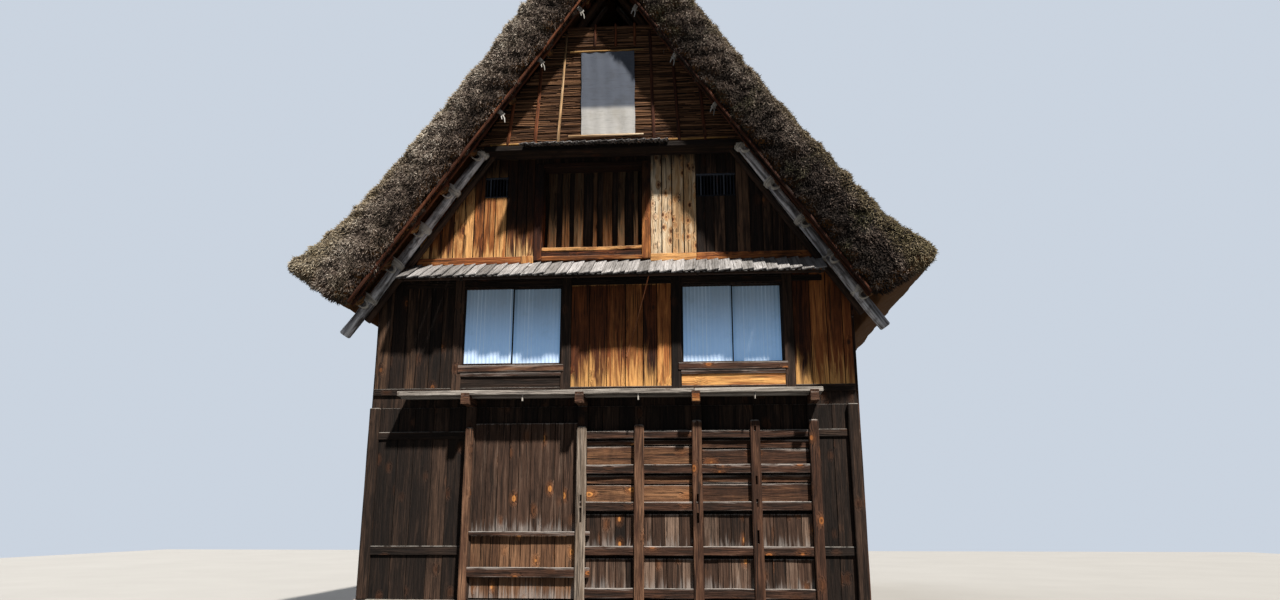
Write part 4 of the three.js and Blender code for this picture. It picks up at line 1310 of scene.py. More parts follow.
for side, name in GABLES:
    for kind, finish, slot, shape, spans in THIRD_BOARDS:
        boards = Bits(f"{name}_third_{kind}")
        for x0, x1, z0, z1, cut in spans:
            upright_boards(boards, side, x0, x1, z0, z1, clips=cut, gap=WIDE_SEAM, **shape)
        boards.finish(finish, slot)
    rail = Bits(name + "_third_rail")
    for x0, x1, tone in OLD_RAILS:
        gable_timber(rail, side, x0, x1, *FOOT_OUT, FOOT_Z, THIRD_Z[0], "X", wander=0.006, tone=tone)
    rail.finish(recess_timber, "brown_timber")
    fresh = Bits(name + "_third_rail_fresh")
    for x0, x1, top, along, tone in NEW_RAILS:
        gable_timber(fresh, side, x0, x1, *FOOT_OUT, FOOT_Z, top, along, tone=tone)
    fresh.finish(orange_timber, "sunlit_boards")

# %% Vents
vent_finish = timber_finish("vent bars", (13, 15, 21), (34, 38, 50), (74, 80, 92), soot=0.3, grey=0.1)
vents = Bits("vent_bars")
VENT_PITCH = 0.056
VENT_BAR = 0.013
VENT_OUT = (-0.035, -0.008)
VENT_FRAME = 0.03
VENT_FRAME_OUT = (-0.05, 0.006)

for side in (FRONT, REAR):
    for x0, x1, z0, z1 in VENTS:
        count = round((x1 - x0) / VENT_PITCH)
        for n in range(count):
            x = x0 + (n + 0.5) * (x1 - x0) / count
            gable_timber(vents, side, x - VENT_BAR, x + VENT_BAR, *VENT_OUT, z0 - 0.01, z1 + 0.01,
                         wander=0.003)
        for z in (z0, z1 - VENT_FRAME):
            gable_timber(vents, side, x0, x1, *VENT_FRAME_OUT, z, z + VENT_FRAME, "X")
vents.finish(vent_finish, "dark_timber")

# %% Recess and its slats
RECESS_OUT = (-0.33, -0.1, 0.05)
RECESS_SIDE = 0.14
RECESS_INNER = (RECESS_X[0] + RECESS_SIDE, RECESS_X[1] - RECESS_SIDE)
# The left post gets a tone below the rest, and the head a low one: painted shade.
RECESS_POSTS = ((RECESS_X[0], RECESS_INNER[0], -0.12), (RECESS_INNER[1], RECESS_X[1], 0.6))
SLAT_OUT = (-0.255, -0.23)
SLATS = ((-1.128, -0.988), (-0.883, -0.761), (-0.673, -0.516), (-0.342, -0.272), (-0.168, -0.012),
         (0.092, 0.213), (0.369, 0.438))
RECESS_FOOT, RECESS_FLOOR, RECESS_HEAD, RECESS_TOP = 5.86, 6.09, 7.54, 7.62

for side, name in GABLES:
    ring = Bits(name + "_recess_timbers")
    for x0, x1, tone in RECESS_POSTS:
        gable_timber(ring, side, x0, x1, *RECESS_OUT[1:], RECESS_FOOT, RECESS_TOP, wear=0.01, tone=tone)
        gable_timber(ring, side, x0 + 0.01, x1 - 0.01, *RECESS_OUT[:2], RECESS_FOOT, RECESS_TOP, wear=0.004)
    gable_timber(ring, side, *RECESS_INNER, *RECESS_OUT[::2], RECESS_HEAD, RECESS_TOP, "X", tone=0.1)
    gable_timber(ring, side, *RECESS_INNER, 0.0, 0.02, RECESS_FOOT + 0.05, RECESS_FLOOR - 0.06, "X", tone=0.1)
    ring.finish(recess_timber, "brown_timber", name + "_recess_frame")
    low_board = Bits(name + "_recess_foot")
    gable_timber(low_board, side, *RECESS_INNER, 0.004, 0.048, RECESS_FOOT, RECESS_FOOT + 0.075, "X",
                 wander=0.014, tone=0.35)
    gable_timber(low_board, side, *RECESS_INNER, RECESS_OUT[0], 0.035, RECESS_FLOOR - 0.06, RECESS_FLOOR, "X",
                 wander=0.02, tone=0.8)
    low_board.finish(orange_timber, "sunlit_boards")
    slats = Bits(name + "_recess_slats")
    for low_x, high_x in SLATS:
        gable_timber(slats, side, low_x, high_x, *SLAT_OUT, RECESS_FLOOR, RECESS_HEAD, wander=0.016)
    slats.finish(slat_boards, "sunlit_boards")

# %% Leaning twig
TWIG = ((0.681, gable_y(FRONT, 0.1), 5.68), (0.287, gable_y(FRONT, 0.034), 4.196))
twig_finish = timber_finish("leaning twig", (150, 64, 40), (226, 122, 84), (246, 172, 122), soot=0.1,
                            grey=0.1)
twig = Bits("leaning_twig")
pole(twig, *TWIG, 0.009, 0.6, 6, 0.03)
twig.finish(twig_finish, "brown_timber")

# %% [markdown]
# Two pent roofs keep rain off the gable. Each is a row of split shingles: the lower one on battens, the upper
# one on a beam and short brackets. A shingle tips a little about its own length, so that every edge throws a
# thin shadow and the row looks like teeth from below. A wide shingle reaches from the wall to the eave in one
# length.

# %% A slanted plank, and a row of shingles
SHINGLE_TIPS = (8, 11)
SHINGLE_ENDS = (-0.04, 0.025)
BATTENS_AT = (0.3, 0.86)
BATTEN_HALF = 0.022


def slanted(bits, side, x, near, far, length_extra, width, thick, tip=0.0, tone=None, **shape):
    """A plank that runs down a pent roof from (out, height) to (out, height), centred at x."""
    top = Vector((x, gable_y(side, near[0]), near[1]))
    foot = Vector((x, gable_y(side, far[0]), far[1]))
    down = (foot - top).normalized()
    foot += down * length_extra
    level = Vector((1, 0, 0))
    turn = Matrix((down, level, down.cross(level))).transposed().to_4x4()
    bit = plank(bits.dice, (foot - top).length, width, thick, **shape)
    bits.take(bit, Matrix.Translation((top + foot) / 2) @ turn @ Matrix.Rotation(tip, 4, "X"), tone)


def pent_roof(bits, side, x0, x1, near, far, width, thick):
    """Shingles side by side, with narrow strips under them, two to each shingle's width."""
    count = round((x1 - x0) / width)
    step = (x1 - x0) / count
    dice = bits.dice
    for n in range(count):
        wide = step * dice.uniform(1.0, 1.1)
        rise = thick * 0.5 + dice.uniform(0, 0.005)
        slanted(bits, side, x0 + (n + 0.5) * step, (near[0], near[1] + rise), (far[0], far[1] + rise),
                dice.uniform(*SHINGLE_ENDS), wide, thick, math.radians(dice.uniform(*SHINGLE_TIPS)) * -side,
                wear=0.003, wander=0.006)
    for n in range(count * 2):
        x = x0 + (n + 0.5) * step / 2
        slanted(bits, side, x, (near[0], near[1] - 0.014), (far[0] - 0.03, far[1] - 0.002), 0,
                step * 0.25, 0.014, wear=0.002, tone=0.1)


def pent_battens(bits, side, x0, x1, near, far):
    """The two battens that carry a pent roof's shingles."""
    for share in BATTENS_AT:
        out = near[0] + (far[0] - near[0]) * share
        z = near[1] + (far[1] - near[1]) * share - 0.04
        gable_timber(bits, side, x0, x1, out - BATTEN_HALF, out + BATTEN_HALF, z - BATTEN_HALF,
                     z + BATTEN_HALF, "X")


# %% Pent roofs
LOWER_PENT = ((0.004, 5.815), (0.7, 5.425))
LOWER_BATTENS = ((0.004, 5.79), (0.7, 5.4))
LOWER_BRACKETS = ((0.0, 5.74), (0.62, 5.392))
LOWER_SHINGLE = (0.185, 0.022)
LOWER_BRACKET_COUNT = 8
UPPER_PENT = ((0.44, 7.785), (0.81, 7.655))
UPPER_PENT_X = (-1.46, 1.01)
UPPER_BRACKETS = ((0.45, 7.745), (0.78, 7.63))
UPPER_SHINGLE = (0.125, 0.013)
ATTIC_BEAM = (-2.13, 2.13, 0.385, 0.455, 7.69, 7.78)

for side, name in GABLES:
    low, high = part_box(name + "_lower_pent")
    lower = Bits(name + "_pent_shingles")
    pent_roof(lower, side, low.x, high.x, *LOWER_PENT, *LOWER_SHINGLE)
    lower.finish(shingle_timber, "grey_timber", name + "_lower_pent")
    battens = Bits(name + "_pent_battens")
    pent_battens(battens, side, low.x + 0.03, high.x - 0.03, *LOWER_BATTENS)
    for n in range(LOWER_BRACKET_COUNT):
        x = low.x + 0.1 + n * (high.x - low.x - 0.2) / (LOWER_BRACKET_COUNT - 1)
        slanted(battens, side, x, *LOWER_BRACKETS, 0, 0.04, 0.05)
    battens.finish(dark_timber, "dark_timber")

    upper = Bits(name + "_upper_pent_slats")
    pent_roof(upper, side, *UPPER_PENT_X, *UPPER_PENT, *UPPER_SHINGLE)
    upper.finish(shingle_timber, "grey_timber", name + "_upper_pent")
    beam = Bits(name + "_attic_beam")
    gable_timber(beam, side, *ATTIC_BEAM, "X", wander=0.01)
    for n in range(5):
        slanted(beam, side, -1.36 + n * 0.567, *UPPER_BRACKETS, 0, 0.04, 0.03)
    beam.finish(shaded_timber, "brown_timber")

# %% [markdown]
# The attic is closed with reeds. Bundles as thick as an arm lie one above the other against upright poles,
# and each bundle is a few rows of single stalks with a dark gap under it. Every stalk is a five-sided stick
# of its own, because no bump map gives the broken ends and the shadows between.

# %% Reed finish
def straw_finish(name, deep, body, pale, along=None):
    """Dry stalks: each has a tone of its own, and blotches run through many of them."""
    finish, tree, shader = new_finish(name)
    grain, tone = grain_source(tree, along)
    place = object_place(tree)
    blotch = patchy(tree, place, 0.35, (1.5, 1.5, 1), 4.0, 0.65)
    fleck = patchy(tree, grain, 0.006, (14, 1, 1), 3.0)
    level = summed(tree, (fleck, 0.35), (tone, 0.5), (blotch, 0.3))
    colour = tinted(tree, level, [(0.25, deep), (0.55, body), (0.88, pale)])
    joined(tree, shader, colour, fleck, 0.003)
    return finish


reed_finish = straw_finish("attic reed", (25, 16, 10), (88, 60, 41), (164, 122, 88))
reed_core = straw_finish("attic reed core", (14, 10, 8), (30, 21, 15), (52, 38, 27), along="X")
print("reed finishes:", reed_finish.name, "and", reed_core.name)

# %% Reeds of the attic
ATTIC_FOOT, ATTIC_TOP = 7.79, 10.01
REED_OUT = 0.389
REED_R = 0.0085
BUNDLE = 6
CLOTH_HOLE = (-0.405, 0.355, 8.045, 9.405)


def reed_row(bits, side, x0, x1, z, out):
    """Stalks end to end along one row, each a little crooked, some of them short."""
    dice = bits.dice
    place = x0
    while place < x1 - 0.05:
        end = min(place + dice.uniform(0.4, 1.2), x1)
        tilt = dice.uniform(-0.012, 0.012)
        points = ((place - 0.02, gable_y(side, out), z - tilt), (end, gable_y(side, out), z + tilt))
        pole(bits, *points, REED_R * dice.uniform(0.8, 1.25), 0.75, 5, 0.014, step=0.3, rough=0.0)
        place = end


for side, name in GABLES:
    reeds = Bits(name + "_attic_reeds")
    dice = reeds.dice
    z, row = ATTIC_FOOT, 0
    while z < ATTIC_TOP:
        reach = (slope_z(0, 0.06) - z) / SLOPE
        spans = [(-reach, reach)]
        if side == FRONT and CLOTH_HOLE[2] < z < CLOTH_HOLE[3]:
            spans = [(-reach, CLOTH_HOLE[0]), (CLOTH_HOLE[1], reach)]
        for x0, x1 in spans:
            bulge = 0.014 * math.sin(math.pi * (row % BUNDLE + 0.5) / BUNDLE)
            start = x0 + dice.uniform(0, 0.05)
            reed_row(reeds, side, start, x1, z, REED_OUT + bulge + dice.uniform(0, 0.006))
        row += 1
        z += REED_R * (2.0 if row % BUNDLE else 3.3)
    reeds.finish(reed_finish, "reed")

# %% Poles of the attic
ATTIC_POLES = ((-1.75, -1.66, 8.63), (-1.27, -1.2, 9.28), (-0.88, -0.76, 9.9), (0.76, 0.69, 9.9),
               (1.19, 1.09, 9.3), (1.63, 1.54, 8.8))
BARE_POLE = 2
SHORT_POLES = (-0.27, 0.1, 0.433)
SHORT_POLE_Z = (9.62, 10.06)
POLE_OUT = 0.402
FOOT_RODS = ((-2.05, -0.92), (-0.84, 0.6), (0.66, 2.0))
FOOT_ROD_Z = (7.825, 7.83)

for side, name in GABLES:
    poles = Bits(name + "_attic_poles")
    y = gable_y(side, POLE_OUT)
    for i, (foot_x, head_x, top) in enumerate(ATTIC_POLES):
        if i != BARE_POLE:
            pole(poles, (foot_x, y, ATTIC_FOOT), (head_x, y, top), 0.033, 0.8)
    for x in SHORT_POLES:
        pole(poles, (x, y, SHORT_POLE_Z[0]), (x * 0.97, y, SHORT_POLE_Z[1]), 0.026, 0.9)
    poles.finish(red_poles, "brown_timber")
    foot_rods = Bits(name + "_attic_foot_rods")
    for x0, x1 in FOOT_RODS:
        pole(foot_rods, (x0, y, FOOT_ROD_Z[0]), (x1, y, FOOT_ROD_Z[1]), 0.021, 0.85)
    foot_rods.finish(ochre_rods, "pale_pole")
    bare = Bits(name + "_attic_bare_pole")
    foot_x, head_x, top = ATTIC_POLES[BARE_POLE]
    pole(bare, (foot_x, y, ATTIC_FOOT), (head_x, y, top), 0.026, 0.8, bend=0.004, rough=0.02)
    bare.finish(bare_wood, "pale_pole")

# %% [markdown]
# A coarse woven cloth hangs over the attic opening, held out flat by a rod at the top and another at the
# foot. It is one sheet, cut as a plain rectangle. Its grid gets shallow folds that start at the ties and fade
# towards the middle, and then its thickness. The weave is in the finish: two sets of threads that cross, read
# from coordinates that belong to the cloth, with uneven thick threads. A painted shadow, cool and blue-grey,
# darkens all of it but a corner at the foot, which two bands at a slant leave free.

# %% Cloth finish
SHADOW_ABOVE = (8.38, 8.5)
SHADOW_RIGHT_OF = (8.36, 8.56)
SHADOW_SLANT = 2.33
cloth_finish, tree, shader = new_finish("coarse cloth", 0.92)
grain, tone = grain_source(tree)
threads = []
for band in ("X", "Y"):
    inputs = {"Vector": grain, "Scale": 34.0, "Distortion": 1.1, "Detail": 2.0, "Detail Scale": 3.0}
    wave = node(tree, "ShaderNodeTexWave", inputs, wave_type="BANDS", bands_direction=band)
    threads.append(wave.outputs["Fac"])
weave = worked(tree, "MULTIPLY", worked(tree, "ADD", *threads), 0.5)
slub = patchy(tree, grain, 0.02, (9, 1, 1), 3.0)
stain = patchy(tree, grain, 0.3, detail=5.0, rough=0.65)
colour = tinted(tree, weave, [(0.1, (138, 138, 140)), (0.75, (222, 220, 216))])
colour = laid(tree, banded(tree, slub, 0.5, 0.75), 0.35, colour, (120, 118, 116))
colour = laid(tree, banded(tree, stain, 0.45, 0.75), 0.5, colour, (148, 142, 130))
# Painted shadow: a cool blue-grey over all but a corner at the foot, bounded by a level line and a slant.
place = object_place(tree)
apart = node(tree, "ShaderNodeSeparateXYZ", {"Vector": place})
slant = worked(tree, "MULTIPLY_ADD", apart.outputs["X"], SHADOW_SLANT, apart.outputs["Z"])
above, beside = banded(tree, apart.outputs["Z"], *SHADOW_ABOVE), banded(tree, slant, *SHADOW_RIGHT_OF)
painted_shadow = worked(tree, "MAXIMUM", above, beside)
colour = laid(tree, painted_shadow, 0.9, colour, (100, 113, 138), "MULTIPLY")
joined(tree, shader, colour, weave, 0.004)
print("cloth finish:", len(tree.nodes), "nodes")

# %% Cloth and its rods
CLOTH_SIZE = (0.92, 1.55)
CLOTH_FOLD = 0.006
low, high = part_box("hanging_cloth")
middle = (low + high) / 2
bit = bmesh.new()
bmesh.ops.create_grid(bit, x_segments=46, y_segments=72, size=0.5)
bmesh.ops.scale(bit, verts=bit.verts, vec=(*CLOTH_SIZE, 1))
grain_layer = bit.verts.layers.float_vector.new("grain")
for vert in bit.verts:
    vert[grain_layer] = vert.co.copy()
    across, up = vert.co.x / CLOTH_SIZE[0], vert.co.y / CLOTH_SIZE[1]
    tied = 0.35 + 0.65 * abs(2 * up) ** 1.5
    vert.co.z = CLOTH_FOLD * tied * math.sin(across * 26 + up * 2.2) + 0.006 * noise.noise(vert.co * 3.2)
    vert.co.x += 0.012 * noise.noise(Vector((0, up * 5, 3))) - 0.018 * up
    vert.co.y += 0.006 * noise.noise(Vector((across * 6, 0, 8)))
bmesh.ops.solidify(bit, geom=bit.faces[:], thickness=0.004)
hung = Bits("hanging_sheet")
hung.take(bit, Matrix.Translation(middle) @ Matrix.Rotation(math.pi / 2, 4, "X"), tone=0.5, smooth=True)
cloth = hung.finish(cloth_finish, "cloth", "hanging_cloth")

for name, finish in (("cloth_rod_top", ochre_rods), ("cloth_rod_bottom", bare_wood)):
    rod = Bits(f"{name}_pole")
    low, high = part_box(name)
    centre = (low + high) / 2
    reach = Vector(((high.x - low.x) * 0.38, 0, 0))
    pole(rod, centre - reach, centre + reach, (high.z - low.z) / 2, 0.8, bend=0.006)
    rod.finish(finish, "pale_pole", name)

# %% [markdown]
# The roof stands on pairs of long poles that lean together like hands, tied with rope to thinner poles that
# run the length of the house. No nail holds them. The gable pair is bleached pale where the sun reaches it.
# Higher up the poles are painted dark, and dark patches are laid on them: painted shade and painted shadow.
# Each cross pole ends in a natural crook that holds the outer ones. Further up, where no thick pole shows,
# the thin poles under the thatch's edge are tied by themselves.

# %% Measures and finishes of the roof poles
RAFTER_Y = (-6.563, -3.2, 0.0, 3.2, 6.563)
RAFTER_FOOT, RAFTER_HEAD = 4.42, 0.1
RAFTER_R = 0.095
INNER_FOOT = 4.08
INNER_OUT = 0.13
INNER_UNDER = -0.14
INNER_R = 0.055
PURLIN_X = (0.43, 1.05, 1.68, 2.33, 2.8, 3.27, 3.7, 4.12)
PURLIN_PEAK = 11.195
PURLIN_END = 6.898
PURLIN_R = 0.06
SLOPE_DOWN = Vector((1, 0, -SLOPE)).normalized()
SLOPE_OUT = Vector((SLOPE, 0, 1)).normalized()
rope_finish = straw_finish("straw rope", (128, 124, 118), (200, 196, 188), (236, 234, 230))
old_rope = straw_finish("old rope", (92, 88, 84), (162, 158, 152), (204, 200, 196))

BLEACHED_UP_TO = (7.3, 8.4)
rafter_finish, tree, shader = new_finish("rafter poles", 0.8)
grain, tone = grain_source(tree)
wood = wood_look(tree, grain, 0.1, 3.0)
place = object_place(tree)
pale = tinted(tree, wood["Streak"], [(0.2, (112, 111, 114)), (0.5, (186, 187, 194)), (0.8, (230, 232, 238))])
sooty = tinted(tree, wood["Streak"], [(0.2, (26, 18, 14)), (0.8, (84, 60, 44))])
# Pale low down, and dark above the given heights: painted shade under the thatch.
colour = mixed(tree, banded(tree, height_of(tree, place), *BLEACHED_UP_TO), pale, sooty)
# Dark patches: painted shadow.
patch = banded(tree, patchy(tree, place, 0.3, rough=0.7), 0.46, 0.66)
colour = laid(tree, patch, 0.65, colour, (50, 38, 30))
joined(tree, shader, colour, wood["Fibre"], 0.006)
print("rafter finish:", len(tree.nodes), "nodes")

# %% Rafters
def rafter_row(name, mirror):
    """Half of every rafter pair, and a thinner pole inside those of the gables."""
    rafters = Bits(f"rafters_{name}")
    inner_poles = Bits(f"inner_poles_{name}")
    for y in RAFTER_Y:
        foot, head = (Vector((x, y, slope_z(x))) * mirror for x in (RAFTER_FOOT, RAFTER_HEAD))
        pole(rafters, foot, head, RAFTER_R, 0.72, 12, 0.03, rough=0.12)
        if abs(y) > RAFTER_Y[3]:
            level = math.copysign(gable_y(REAR, INNER_OUT), y)
            ends = [Vector((x, level, slope_z(x, INNER_UNDER))) * mirror for x in (INNER_FOOT, RAFTER_HEAD)]
            pole(inner_poles, *ends, INNER_R, 0.8, 10, 0.02)
    rafters.finish(rafter_finish, "pale_pole", f"roof_frame_{name}")
    inner_poles.finish(dark_timber, "dark_timber")


# %% Cross poles, their crooks and their ropes
TURNS = (-1.5, -0.5, 0.5, 1.5)
BAND_TWIST, BAND_STEP = 0.4, 0.018
BAND_SHAPE = (0.107, 1.38, 0.0095)
LOOP_SHAPE = (0.066, 1.5)
BARE_UP_TO = 0.5
TOP_DROP, CROOK_DROP = 0.02, 0.21
CROOK_RADII = (0.05, 0.056, 0.052, 0.046, 0.036)


def crossed_rope(ropes, join, mirror):
    """Two bands of rope that cross where a cross pole meets a rafter."""
    for twist in (-1, 1):
        along = SLOPE_DOWN * mirror + Vector((0, twist * BAND_TWIST, 0))
        for n in TURNS:
            rope_turn(ropes, join + along * n * BAND_STEP, SLOPE_OUT * mirror, along, *BAND_SHAPE)


def crook(crooks, side, x, height, mirror):
    """The bent end of a cross pole, which holds the outer poles."""
    tip = side * PURLIN_END
    drop = TOP_DROP if x < BARE_UP_TO else CROOK_DROP
    bends = [(x, tip - side * 0.24, height), (x, tip - side * 0.15, height - drop * 0.6),
             (x + 0.01, tip, height - drop), (x + 0.04, tip + side * 0.14, height - drop),
             (x + 0.08, tip + side * 0.22, height - drop + 0.03)]
    swept(crooks, [Vector(p) * mirror for p in bends], CROOK_RADII)


def looped_rope(ropes, side, x, height, mirror):
    """Three loose turns of rope round a crook."""
    loop = Vector((x - 0.02, side * (PURLIN_END - 0.2), height - 0.16)) * mirror
    for n in (-1, 0, 1):
        rope_turn(ropes, loop + Vector((n * 0.008, n * 0.026, 0)), SLOPE_OUT * mirror,
                  (0.2 * n, 1, 0.1 * n), *LOOP_SHAPE)


def cross_poles(name, mirror):
    """The poles along the house on one slope. The topmost isn't tied, and hardly bends."""
    purlins = Bits(f"cross_poles_{name}")
    crooks = Bits(f"pole_crooks_{name}")
    ropes = Bits(f"roof_ropes_{name}")
    for x in PURLIN_X:
        height = PURLIN_PEAK - SLOPE * x
        ends = [Vector((x, end, height)) * mirror for end in (-PURLIN_END, PURLIN_END)]
        pole(purlins, *ends, PURLIN_R, 0.9, 8, 0.02)
        for side in (FRONT, REAR):
            crook(crooks, side, x, height, mirror)
            if x > BARE_UP_TO:
                join = Vector((x, side * RAFTER_Y[4], height)) * mirror - SLOPE_OUT * mirror * 0.09
                crossed_rope(ropes, join, mirror)
                looped_rope(ropes, side, x, height, mirror)
    purlins.finish(red_poles, "brown_timber")
    crooks.finish(crook_wood, "brown_timber")
    ropes.finish(rope_finish, "ridge_straw")


# %% Poles and ties under the thatch's edge
VERGE_POLES = ((0.74, 0.045, 0.03), (0.9, 0.04, 0.032))
VERGE_FOOT, VERGE_HEAD = 4.1, 0.04
TIED_X = (0.5, 1.16, 1.81)
TIE_OUT, TIE_STEP = 0.76, 0.019
TIE_SHAPE = (0.042, 1.3)
KNOT_SHAPE = (0.024, 1.3, 0.01)
TAIL_RADII = (0.012, 0.011, 0.007)


def verge_row(name, mirror, tone):
    """Two thin poles side by side under the thatch at each end of a slope."""
    verge = Bits(f"verge_poles_{name}")
    for side in (FRONT, REAR):
        for out, drop, radius in VERGE_POLES:
            y = gable_y(side, out)
            foot, head = (Vector((x, y, slope_z(x, -drop))) * mirror for x in (VERGE_FOOT, VERGE_HEAD))
            pole(verge, foot, head, radius, 0.8, 8, 0.02, tone=tone)
    verge.finish(red_poles, "brown_timber")


def verge_ties(name, mirror):
    """Ropes round a thin pole: four turns, a knot and two loose tails."""
    ties = Bits(f"verge_ties_{name}")
    along = SLOPE_DOWN * mirror
    for side in (FRONT, REAR):
        for x in TIED_X:
            middle = Vector((x, gable_y(side, TIE_OUT), slope_z(x, -0.05))) * mirror
            for n in TURNS:
                rope_turn(ties, middle + along * n * TIE_STEP, (0, 1, 0), along, *TIE_SHAPE)
            knot = middle - SLOPE_OUT * mirror * 0.05
            for n in (-1, 1):
                tail = knot + Vector((n * 0.026 - mirror.x * 0.03, side * 0.03, -0.14 - 0.03 * n))
                bow = knot.lerp(tail, 0.5) + Vector((n * 0.014, 0, 0))
                swept(ties, [knot, bow, tail], TAIL_RADII)
            rope_turn(ties, knot, (1, 0, 0), (0, 1, 0.2), *KNOT_SHAPE)
    ties.finish(old_rope, "ridge_straw")


for way, name in HALVES:
    mirror = Vector((way, 1, 1))
    rafter_row(name, mirror)
    cross_poles(name, mirror)
    # The right half's thin poles get a lower tone than the left's: painted shade.
    verge_row(name, mirror, tone=0.2 - 0.15 * way)
    verge_ties(name, mirror)

# %% [markdown]
# Thatch is the biggest thing in the picture. Its solid is remeshed into an even skin, rounded at the gable
# ends, and given lumps where bundles sag. Three numbers at every point tell its finish what it is: depth,
# from 0 at the outer skin to 1 at the underside, ends, which is 1 where the cut ends of the straw face you,
# and hollow, which is low in the dents. The finishes paint shade into the dents. Real straws come next, set
# in that skin by geometry nodes.

# %% An even skin, and lumps
def remeshed(node_name, voxel):
    """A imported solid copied, merged and remeshed into even squares, as a bmesh."""
    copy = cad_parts[node_name].data.copy()
    bit = bmesh.new()
    bit.from_mesh(copy)
    bmesh.ops.remove_doubles(bit, verts=bit.verts, dist=0.0001)
    bit.to_mesh(copy)
    bit.free()
    helper = bpy.data.objects.new("helper", copy)
    scene.collection.objects.link(helper)
    remesh = helper.modifiers.new("even", "REMESH")
    remesh.mode = "VOXEL"
    remesh.voxel_size = voxel
    even = bpy.data.meshes.new_from_object(helper.evaluated_get(bpy.context.evaluated_depsgraph_get()))
    bpy.data.objects.remove(helper)
    bpy.data.meshes.remove(copy)
    bit = bmesh.new()
    bit.from_mesh(even)
    bpy.data.meshes.remove(even)
    return bit


def lumps(place, size, seed):
    """Noise from about -1 to 1, in lumps as large as size."""
    return noise.noise(place / size + Vector((seed, seed, seed)))


def smoothed(bit, verts, factor):
    """Relaxes some points towards their neighbours."""
    bmesh.ops.smooth_vert(bit, verts=verts, factor=factor, use_axis_x=True, use_axis_y=True, use_axis_z=True)


def clamped(value):
    """Kept between 0 and 1."""
    return min(1.0, max(0.0, value))


# %% Thatch skin
SKIN_VOXEL = 0.095
THATCH_END = 7.363
ROUNDED_END = 0.45
SKIN_OFFSET = 0.8
CUT_FROM, CUT_FADE = 0.42, 0.3
SAG_SIZE, SAG_LIFT = 0.7, 0.03
CLUMP_SIZE, CLUMP_LIFT, CUT_LIFT = 0.17, 0.012, 0.07
thatch_skins = {}

for way, name in HALVES:
    skin = remeshed(f"thatch_{name}", SKIN_VOXEL)
    rim = [v for v in skin.verts if abs(v.co.y) > THATCH_END - ROUNDED_END]
    for _ in range(5):
        smoothed(skin, rim, 0.6)
    smoothed(skin, skin.verts, 0.5)
    skin.normal_update()
    depth = skin.verts.layers.float.new("depth")
    ends = skin.verts.layers.float.new("ends")
    hollow = skin.verts.layers.float.new("hollow")
    grain = skin.verts.layers.float_vector.new("grain")
    moves = []
    for vert in skin.verts:
        place = vert.co
        offset = (place.z + SLOPE * abs(place.x) - APEX) * COS_PITCH
        vert[depth] = clamped(1 - offset / SKIN_OFFSET)
        vert[ends] = clamped((abs(place.y) - THATCH_END + CUT_FROM) / CUT_FADE)
        down = place.dot(SLOPE_DOWN * Vector((way, 1, 1)))
        vert[grain] = Vector((down, place.y, offset))
        clump = lumps(place, CLUMP_SIZE, 9)
        sag = lumps(place, SAG_SIZE, 3)
        lift = SAG_LIFT * sag + (CLUMP_LIFT + CUT_LIFT * vert[ends]) * clump
        vert[hollow] = 0.5 + 0.5 * clump + 0.25 * sag
        moves.append(vert.normal * lift)
    for vert, move in zip(skin.verts, moves):
        vert.co += move
    for face in skin.faces:
        face.smooth = True
    mesh = bpy.data.meshes.new(f"thatch_skin_{name}")
    skin.to_mesh(mesh)
    skin.free()
    thatch_skins[name] = mesh
    print(f"thatch_skin_{name}: {len(mesh.vertices)} points")

# %% Thatch finish
SHADE_Z = (6.4, 9.0)
CUT_TINTS = ((0.34, (34, 28, 24)), (0.5, (104, 94, 84)), (0.68, (178, 168, 152)))
SLOPE_TINTS = ((0.3, (62, 56, 50)), (0.52, (120, 113, 104)), (0.72, (180, 174, 164)))


def shade_by_height(tree, place, shade_amount):
    """How much painted shade falls on the thatch: it runs evenly from one amount at the foot of the roof to
    another in its upper part.
    """
    upper = banded(tree, height_of(tree, place), *SHADE_Z)
    return worked(tree, "MULTIPLY_ADD", upper, shade_amount[1] - shade_amount[0], shade_amount[0])


def mossy(tree, place):
    """Where moss grows, in patches most of a metre wide."""
    return banded(tree, patchy(tree, place, 0.8, detail=6.0, rough=0.7), 0.5, 0.66)


